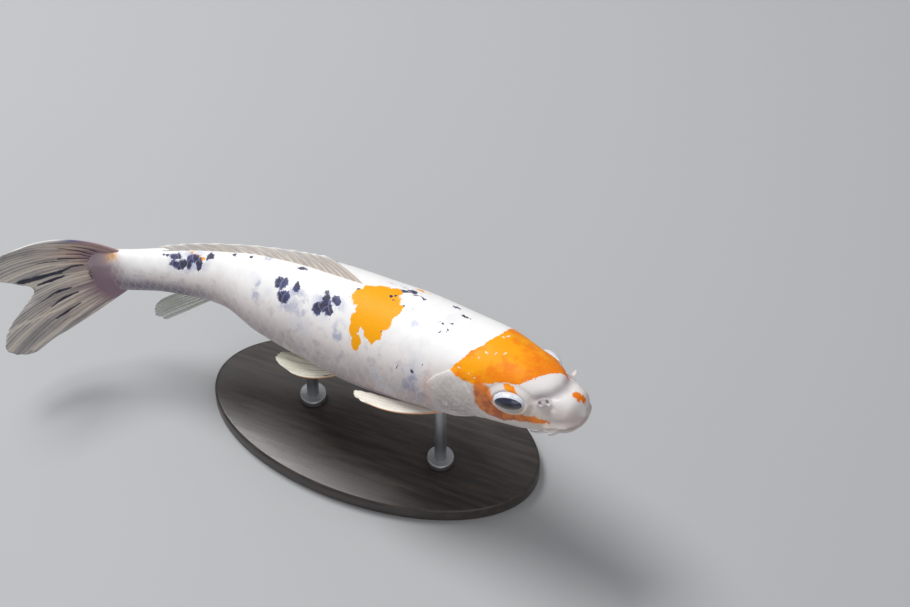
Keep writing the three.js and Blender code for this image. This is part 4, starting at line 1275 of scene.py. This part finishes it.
FIN_LOOKS = {
    "dorsal": {
        "near": (228, 214, 200), "far": (242, 234, 226), "cloud": (214, 198, 184), "rays": (254, 250, 246),
        "contrast": 0.8, "clear": 0.86, "top": (254, 253, 250),
    },
    # Painted shade: the anal fin, under the body, is greyer and darker than the other fins.
    "anal": {
        "near": (180, 182, 172), "far": (168, 172, 162), "cloud": (148, 152, 144), "rays": (214, 214, 204),
        "contrast": 0.7, "clear": 0.34,
    },
    "tail": {
        "near": (202, 174, 162), "far": (178, 174, 172), "cloud": (132, 126, 128), "rays": (234, 222, 208),
        "contrast": 0.55, "clear": 0.66, "root": TAIL_ROOT_SHADE, "root_reach": 0.3, "bands": 0.7,
        "front": (248, 246, 243), "front_width": 1.1, "front_root": (112, 112, 150), "dark": (10, 11, 50),
        "pale": [
            [(8.5, 0.97, 0.16), (8.95, 0.72, 0.20), (8.95, 0.52, 0.28), (8.95, 0.32, 0.06)],
            [
                (12.3, 0.99, 0.16), (12.9, 0.79, 0.20), (13.9, 0.62, 0.26), (14.7, 0.48, 0.22),
                (15.0, 0.32, 0.05),
            ],
            [(16.6, 0.93, 0.30), (17.1, 0.72, 0.40), (17.2, 0.50, 0.36), (17.0, 0.22, 0.06)],
        ],
        "streaks": [
            [(7.25, 0.96, 0.34), (7.5, 0.8, 0.34), (7.75, 0.6, 0.22), (7.2, 0.44, 0.09), (6.8, 0.3, 0.07)],
            [(8.35, 0.92, 0.12), (8.50, 0.76, 0.20), (8.45, 0.60, 0.14)],
            [(11.45, 0.68, 0.10), (11.1, 0.57, 0.28), (11.6, 0.41, 0.16)],
            [(13.35, 0.53, 0.12), (13.1, 0.43, 0.24), (13.3, 0.32, 0.12)],
            [(15.7, 0.57, 0.12), (15.7, 0.47, 0.24), (15.6, 0.36, 0.12)],
            [(5.35, 0.60, 0.06), (5.6, 0.50, 0.14), (5.7, 0.37, 0.08)],
            [(5.2, 0.43, 0.14), (5.3, 0.32, 0.14), (5.1, 0.20, 0.08)],
            [(4.2, 0.34, 0.06), (4.1, 0.25, 0.12), (4.6, 0.17, 0.08)],
            [(2.5, 0.40, 0.08), (3.0, 0.26, 0.14), (3.8, 0.13, 0.10)],
            [(1.9, 0.33, 0.06), (2.3, 0.18, 0.12), (3.0, 0.09, 0.10)],
            [(7.4, 0.56, 0.05), (7.0, 0.30, 0.08)],
        ],
    },
    "pectoral": {
        "near": (250, 243, 232), "far": (246, 240, 228), "cloud": (232, 222, 206), "rays": (254, 251, 244),
        "contrast": 0.8, "clear": 0.9, "front": (200, 132, 74), "front_width": 0.6,
    },
    "pelvic": {
        "near": (246, 240, 224), "far": (240, 238, 218), "cloud": (218, 214, 192), "rays": (252, 249, 236),
        "contrast": 0.8, "clear": 0.86, "front": (200, 132, 74), "front_width": 0.4,
        "dark": (70, 58, 54), "streaks": [[(0.7, 0.22, 0.2), (0.8, 0.34, 0.2)]],
    },
}


# ---- properties ----


class KoiSkinSizes(bpy.types.PropertyGroup):
    rings: bpy.props.IntProperty(
        name="Rings", description="Rings of the skin from snout to tail", default=300, min=60,
    )
    sides: bpy.props.IntProperty(
        name="Sides", description="Corners of each ring, an even number", default=272, min=32,
    )
    coat: bpy.props.FloatProperty(
        name="Coat depth", description="How far the skin lies inside the plain body under the scales, in mm",
        default=0.5, min=0.0, max=2.0,
    )


class KoiScaleSizes(bpy.types.PropertyGroup):
    row: bpy.props.FloatProperty(
        name="Row height", description="Height of a scale row at the thickest part, in body lengths",
        default=0.0258, min=0.01, max=0.08,
    )
    spacing: bpy.props.FloatProperty(
        name="Spacing", description="Distance along a row from scale to scale, as a share of the row height",
        default=0.86, min=0.4, max=1.5,
    )
    lift: bpy.props.FloatProperty(
        name="Lift", description="How far a scale's hind edge stands off its root, in millimetres",
        default=0.32, min=0.1, max=2.0,
    )
    thickness: bpy.props.FloatProperty(
        name="Thickness", description="Thickness of a scale, in millimetres",
        default=0.14, min=0.05, max=1.0,
    )


class KoiEyeSizes(bpy.types.PropertyGroup):
    size: bpy.props.FloatProperty(
        name="Size", description="Size of the eyeballs, as a share of their sockets",
        default=1.0, min=0.8, max=1.1, subtype="FACTOR",
    )


class KoiStandLooks(bpy.types.PropertyGroup):
    dark: bpy.props.FloatVectorProperty(
        name="Dark grain", description="Screen colour, each part from 0 to 255", default=(36, 30, 27),
    )
    light: bpy.props.FloatVectorProperty(
        name="Light grain", description="Screen colour, each part from 0 to 255", default=(62, 52, 46),
    )
    round_edge: bpy.props.FloatProperty(
        name="Edge", description="Rounding of the base's edges", default=2 * MM, unit="LENGTH", precision=4,
    )


class KoiStageLooks(bpy.types.PropertyGroup):
    floor: bpy.props.FloatVectorProperty(
        name="Floor", description="Screen colour, each part from 0 to 255", default=(176, 178, 180),
    )
    lens: bpy.props.FloatProperty(
        name="Lens", description="Focal length in millimetres", default=105.03, unit="CAMERA",
    )
    azimuth: bpy.props.FloatProperty(
        name="Azimuth", description="How far the camera is turned, in degrees", default=22.0,
    )
    elevation: bpy.props.FloatProperty(
        name="Elevation", description="How far the camera looks down, in degrees", default=53.9,
    )
    key: bpy.props.FloatProperty(
        name="Key light", description="Power of the main light", default=28.0, unit="POWER",
    )
    fill: bpy.props.FloatProperty(
        name="Fill light", description="Power of the second light", default=4.4, unit="POWER",
    )


# ---- operators ----

SKIN_MAP = ((0.004, 0.004), (0.90, 0.996))  # the body's box on the map, beside a strip of small parts
STRIP_STEP = 0.16
SMALL_PART_PLACE = (0.03, 0.1, 0.9)  # where the feelers and flaps take their pale colour from
FLOOR_SIZE = 14
SKY, SKY_POWER = (0.93, 0.93, 0.95, 1), 0.42
LAMPS = {"key": ((-0.8, 0.3, 1.75), 0.8), "fill": ((0.9, -1.5, 0.9), 1.4)}  # place and size
LIT_POINT = Vector((0, 0, 0.12))  # what the lamps are turned to
CAMERA_SPOT, SENSOR, FAR = (0.4158, -0.8883, 1.4890), 36.0, 50


class KOI_OT_skin(bpy.types.Operator):
    """Adds the skin of the whole body, with its lips, eyelids, nostrils and feelers"""

    bl_idname = "koi.skin"
    bl_label = "Skin"

    def execute(self, context):
        props = context.scene.koi_skin
        skin, u, v = grid_piece("koi_skin", props.sides, props.rings)
        points, fish, lid = skin_shape(u, v, props.rings, props.sides, props.coat)
        per_corner(skin, "fish", fish)
        per_corner(skin, "lid", lid)
        move_map(skin, *SKIN_MAP)
        settle(skin, points)
        for i, (across, along, shape) in enumerate(self.small_parts()):
            part, u, v = grid_piece(f"small_part_{i}", across, along)
            per_corner(part, "fish", np.tile(SMALL_PART_PLACE, (len(u), 1)))
            move_map(part, (0.91, 0.01 + i * STRIP_STEP), (0.99, 0.15 + i * STRIP_STEP))
            settle(part, shape(u, v))
            pick(skin, part)
            bpy.ops.object.join()
        skin.data.materials.append(skin_material())
        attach(skin, "root")
        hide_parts(*SKIN_NODES)
        return {"FINISHED"}

    @staticmethod
    def small_parts():
        """Faces round and along each feeler and nostril flap, and its shape."""
        for _, side in SIDES:
            for barbel in BARBELS:
                yield 20, 30, partial(barbel_shape, barbel=barbel, side=side)
            yield 16, 10, partial(flap_shape, side=side)


class KOI_OT_scales(bpy.types.Operator):
    """Lays the solid scales over the body in shingled rows"""

    bl_idname = "koi.scales"
    bl_label = "Scales"

    def execute(self, context):
        props = context.scene.koi_scales
        pattern = scale_pattern(3, 6)
        centres = scale_centres(props.row, props.spacing)
        coat = scale_mesh("koi_scales", centres, pattern, props.lift, props.thickness)
        coat.data.materials.append(scale_material())
        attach(coat, "root")
        return {"FINISHED"}


class KOI_OT_eyes(bpy.types.Operator):
    """Sets the two eyeballs in their sockets"""

    bl_idname = "koi.eyes"
    bl_label = "Eyes"

    def execute(self, context):
        props = context.scene.koi_eyes
        look = eye_material()
        for name, side in SIDES:
            centre, front, under, axis = eye_axes(side)
            deselect()
            bpy.ops.mesh.primitive_uv_sphere_add(segments=64, ring_count=48, radius=1)
            ball = bpy.context.object
            ball.name = ball.data.name = f"eye_ball_{name}"
            ball.data.uv_layers[0].name = "OFBake"
            corners = np.array([tuple(vertex.co) for vertex in ball.data.vertices])
            from_axis = np.degrees(np.arccos(np.clip(corners[:, 2], -1, 1)))
            per_corner(ball, "eye", from_axis)
            bulge, reach = CORNEA
            corners *= (1 + bulge * bell(from_axis, reach))[:, None]
            ball.data.vertices.foreach_set("co", corners.ravel())
            ball.scale = [size * props.size * MM for size in EYE_SIZE]
            ball.rotation_euler = Matrix((front, under * side, axis)).transposed().to_euler()
            ball.location = centre
            pick(ball)
            bpy.ops.object.transform_apply(location=True, rotation=True, scale=True)
            bpy.ops.object.shade_smooth()
            ball.data.materials.append(look)
            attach(ball, "root")
            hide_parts(f"eye_{name}")
        return {"FINISHED"}


class KOI_OT_fins(bpy.types.Operator):
    """Adds the dorsal, anal, tail, pectoral and pelvic fins with their rays"""

    bl_idname = "koi.fins"
    bl_label = "Fins"

    def execute(self, context):
        looks = {kind: fin_material(f"{kind}_fin_skin", spec) for kind, spec in FIN_LOOKS.items()}
        wanted = [
            ("back_fin", "dorsal", 1, ["dorsal_fin"]),
            ("vent_fin", "anal", 1, ["anal_fin"]),
            ("tail_fin", "tail", 1, ["tail_fin_upper", "tail_fin_lower"]),
        ]
        for name, side in SIDES:
            wanted.append((f"breast_fin_{name}", "pectoral", side, [f"pectoral_fin_{name}"]))
            wanted.append((f"belly_fin_{name}", "pelvic", side, [f"pelvic_fin_{name}"]))
        for name, kind, side, nodes in wanted:
            fin = fin_piece(name, FINS[kind], side)
            fin.data.materials.append(looks[kind])
            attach(fin, "root")
            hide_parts(*nodes)
        return {"FINISHED"}


class KOI_OT_stand(bpy.types.Operator):
    """Adds the wooden base and the steel rods with their collars"""

    bl_idname = "koi.stand"
    bl_label = "Stand"

    def execute(self, context):
        props = context.scene.koi_stand
        wood, steel = wood_material(props), steel_material()
        low, high = [Vector(corner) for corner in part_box("stand_base")]
        base = self.turned("stand_plate", low, high, 160, props.round_edge, 4)
        base.data.materials.append(wood)
        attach(base, "root")
        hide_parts("stand_base")
        for name in ("front", "rear"):
            for kind, edge, segments in (("rod", 0.3 * MM, 2), ("collar", 1.2 * MM, 4)):
                low, high = [Vector(corner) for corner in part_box(f"stand_{kind}_{name}")]
                piece = self.turned(f"steel_{kind}_{name}", low, high, 64, edge, segments)
                piece.data.materials.append(steel)
                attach(piece, "root")
                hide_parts(f"stand_{kind}_{name}")
        return {"FINISHED"}

    @staticmethod
    def turned(name, low, high, sides, edge, segments):
        """A round or oval piece between two corners, with its rims eased."""
        deselect()
        bpy.ops.mesh.primitive_cylinder_add(vertices=sides, radius=0.5, depth=1, location=(low + high) / 2)
        piece = bpy.context.object
        piece.name = piece.data.name = name
        piece.scale = high - low
        bpy.ops.object.transform_apply(location=True, rotation=True, scale=True)
        bevel = piece.modifiers.new("eased rims", "BEVEL")
        bevel.width, bevel.segments, bevel.limit_method = edge, segments, "ANGLE"
        bevel.angle_limit = math.radians(40)
        bpy.ops.object.modifier_apply(modifier=bevel.name)
        bpy.ops.object.shade_smooth_by_angle(angle=math.radians(35))
        return piece


class KOI_OT_stage(bpy.types.Operator):
    """Adds the floor, the soft lights and the camera"""

    bl_idname = "koi.stage"
    bl_label = "Stage"

    def execute(self, context):
        props = context.scene.koi_stage
        deselect()
        bpy.ops.mesh.primitive_plane_add(size=FLOOR_SIZE, location=(0, 0, 0))
        floor = bpy.context.object
        floor.name = "floor"
        floor.data.materials.append(floor_material(props))
        floor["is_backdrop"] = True

        world = context.scene.world or bpy.data.worlds.new("World")
        context.scene.world = world
        world.use_nodes = True
        background = world.node_tree.nodes["Background"].inputs
        background["Color"].default_value, background["Strength"].default_value = SKY, SKY_POWER
        for name, (spot, size) in LAMPS.items():
            lamp = bpy.data.lights.new(name, "AREA")
            lamp.energy, lamp.size, lamp.shape = getattr(props, name), size, "DISK"
            holder = bpy.data.objects.new(name, lamp)
            holder.location = spot
            holder.rotation_euler = (LIT_POINT - Vector(spot)).to_track_quat("-Z", "Y").to_euler()
            context.collection.objects.link(holder)

        azimuth, elevation = math.radians(props.azimuth), math.radians(props.elevation)
        right = Vector((math.cos(azimuth), math.sin(azimuth), 0))
        level = Vector((-math.sin(azimuth), math.cos(azimuth), 0))
        ahead = level * math.cos(elevation) - Vector((0, 0, math.sin(elevation)))
        lens = bpy.data.cameras.new("camera")
        lens.lens, lens.sensor_width, lens.clip_end = props.lens, SENSOR, FAR
        camera = bpy.data.objects.new("camera", lens)
        turned = Matrix((right, right.cross(ahead), -ahead)).transposed().to_4x4()
        camera.matrix_world = Matrix.Translation(CAMERA_SPOT) @ turned
        context.collection.objects.link(camera)
        context.scene.camera = camera
        context.scene.view_settings.view_transform = "Standard"
        return {"FINISHED"}


class KOI_PT_panel(bpy.types.Panel):
    """Lists the operators in order, each with its sizes or looks"""

    bl_idname = "KOI_PT_panel"
    bl_label = "Koi carp"
    bl_space_type = "VIEW_3D"
    bl_region_type = "UI"
    bl_category = "Koi"

    def draw(self, context):
        for operator, group in ORDER:
            box = self.layout.box()
            box.operator(operator)
            if group:
                values = getattr(context.scene, group)
                for name in values.bl_rna.properties.keys():
                    if name not in ("rna_type", "name"):
                        box.prop(values, name)


GROUPS = {
    "koi_skin": KoiSkinSizes, "koi_scales": KoiScaleSizes, "koi_eyes": KoiEyeSizes,
    "koi_stand": KoiStandLooks, "koi_stage": KoiStageLooks,
}
ORDER = [
    ("koi.skin", "koi_skin"), ("koi.scales", "koi_scales"), ("koi.eyes", "koi_eyes"), ("koi.fins", None),
    ("koi.stand", "koi_stand"), ("koi.stage", "koi_stage"),
]
CLASSES = (
    *GROUPS.values(), KOI_OT_skin, KOI_OT_scales, KOI_OT_eyes, KOI_OT_fins, KOI_OT_stand, KOI_OT_stage,
    KOI_PT_panel,
)


def register():
    """Registers the classes and gives the scene their values."""
    for item in CLASSES:
        bpy.utils.register_class(item)
    for name, group in GROUPS.items():
        setattr(bpy.types.Scene, name, bpy.props.PointerProperty(type=group))


def unregister():
    """Takes the values and the classes away again."""
    for name in GROUPS:
        delattr(bpy.types.Scene, name)
    for item in reversed(CLASSES):
        bpy.utils.unregister_class(item)


def main():
    """Builds every piece and the stage."""
    register()
    for operator, _ in ORDER:
        group, name = operator.split(".")
        getattr(getattr(bpy.ops, group), name)()
    boxes = {"cad": CAD_BOX, "visual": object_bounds()}
    {key: [[float(x) for x in corner] for corner in box] for key, box in boxes.items()}


if __name__ == "__main__":
    main()
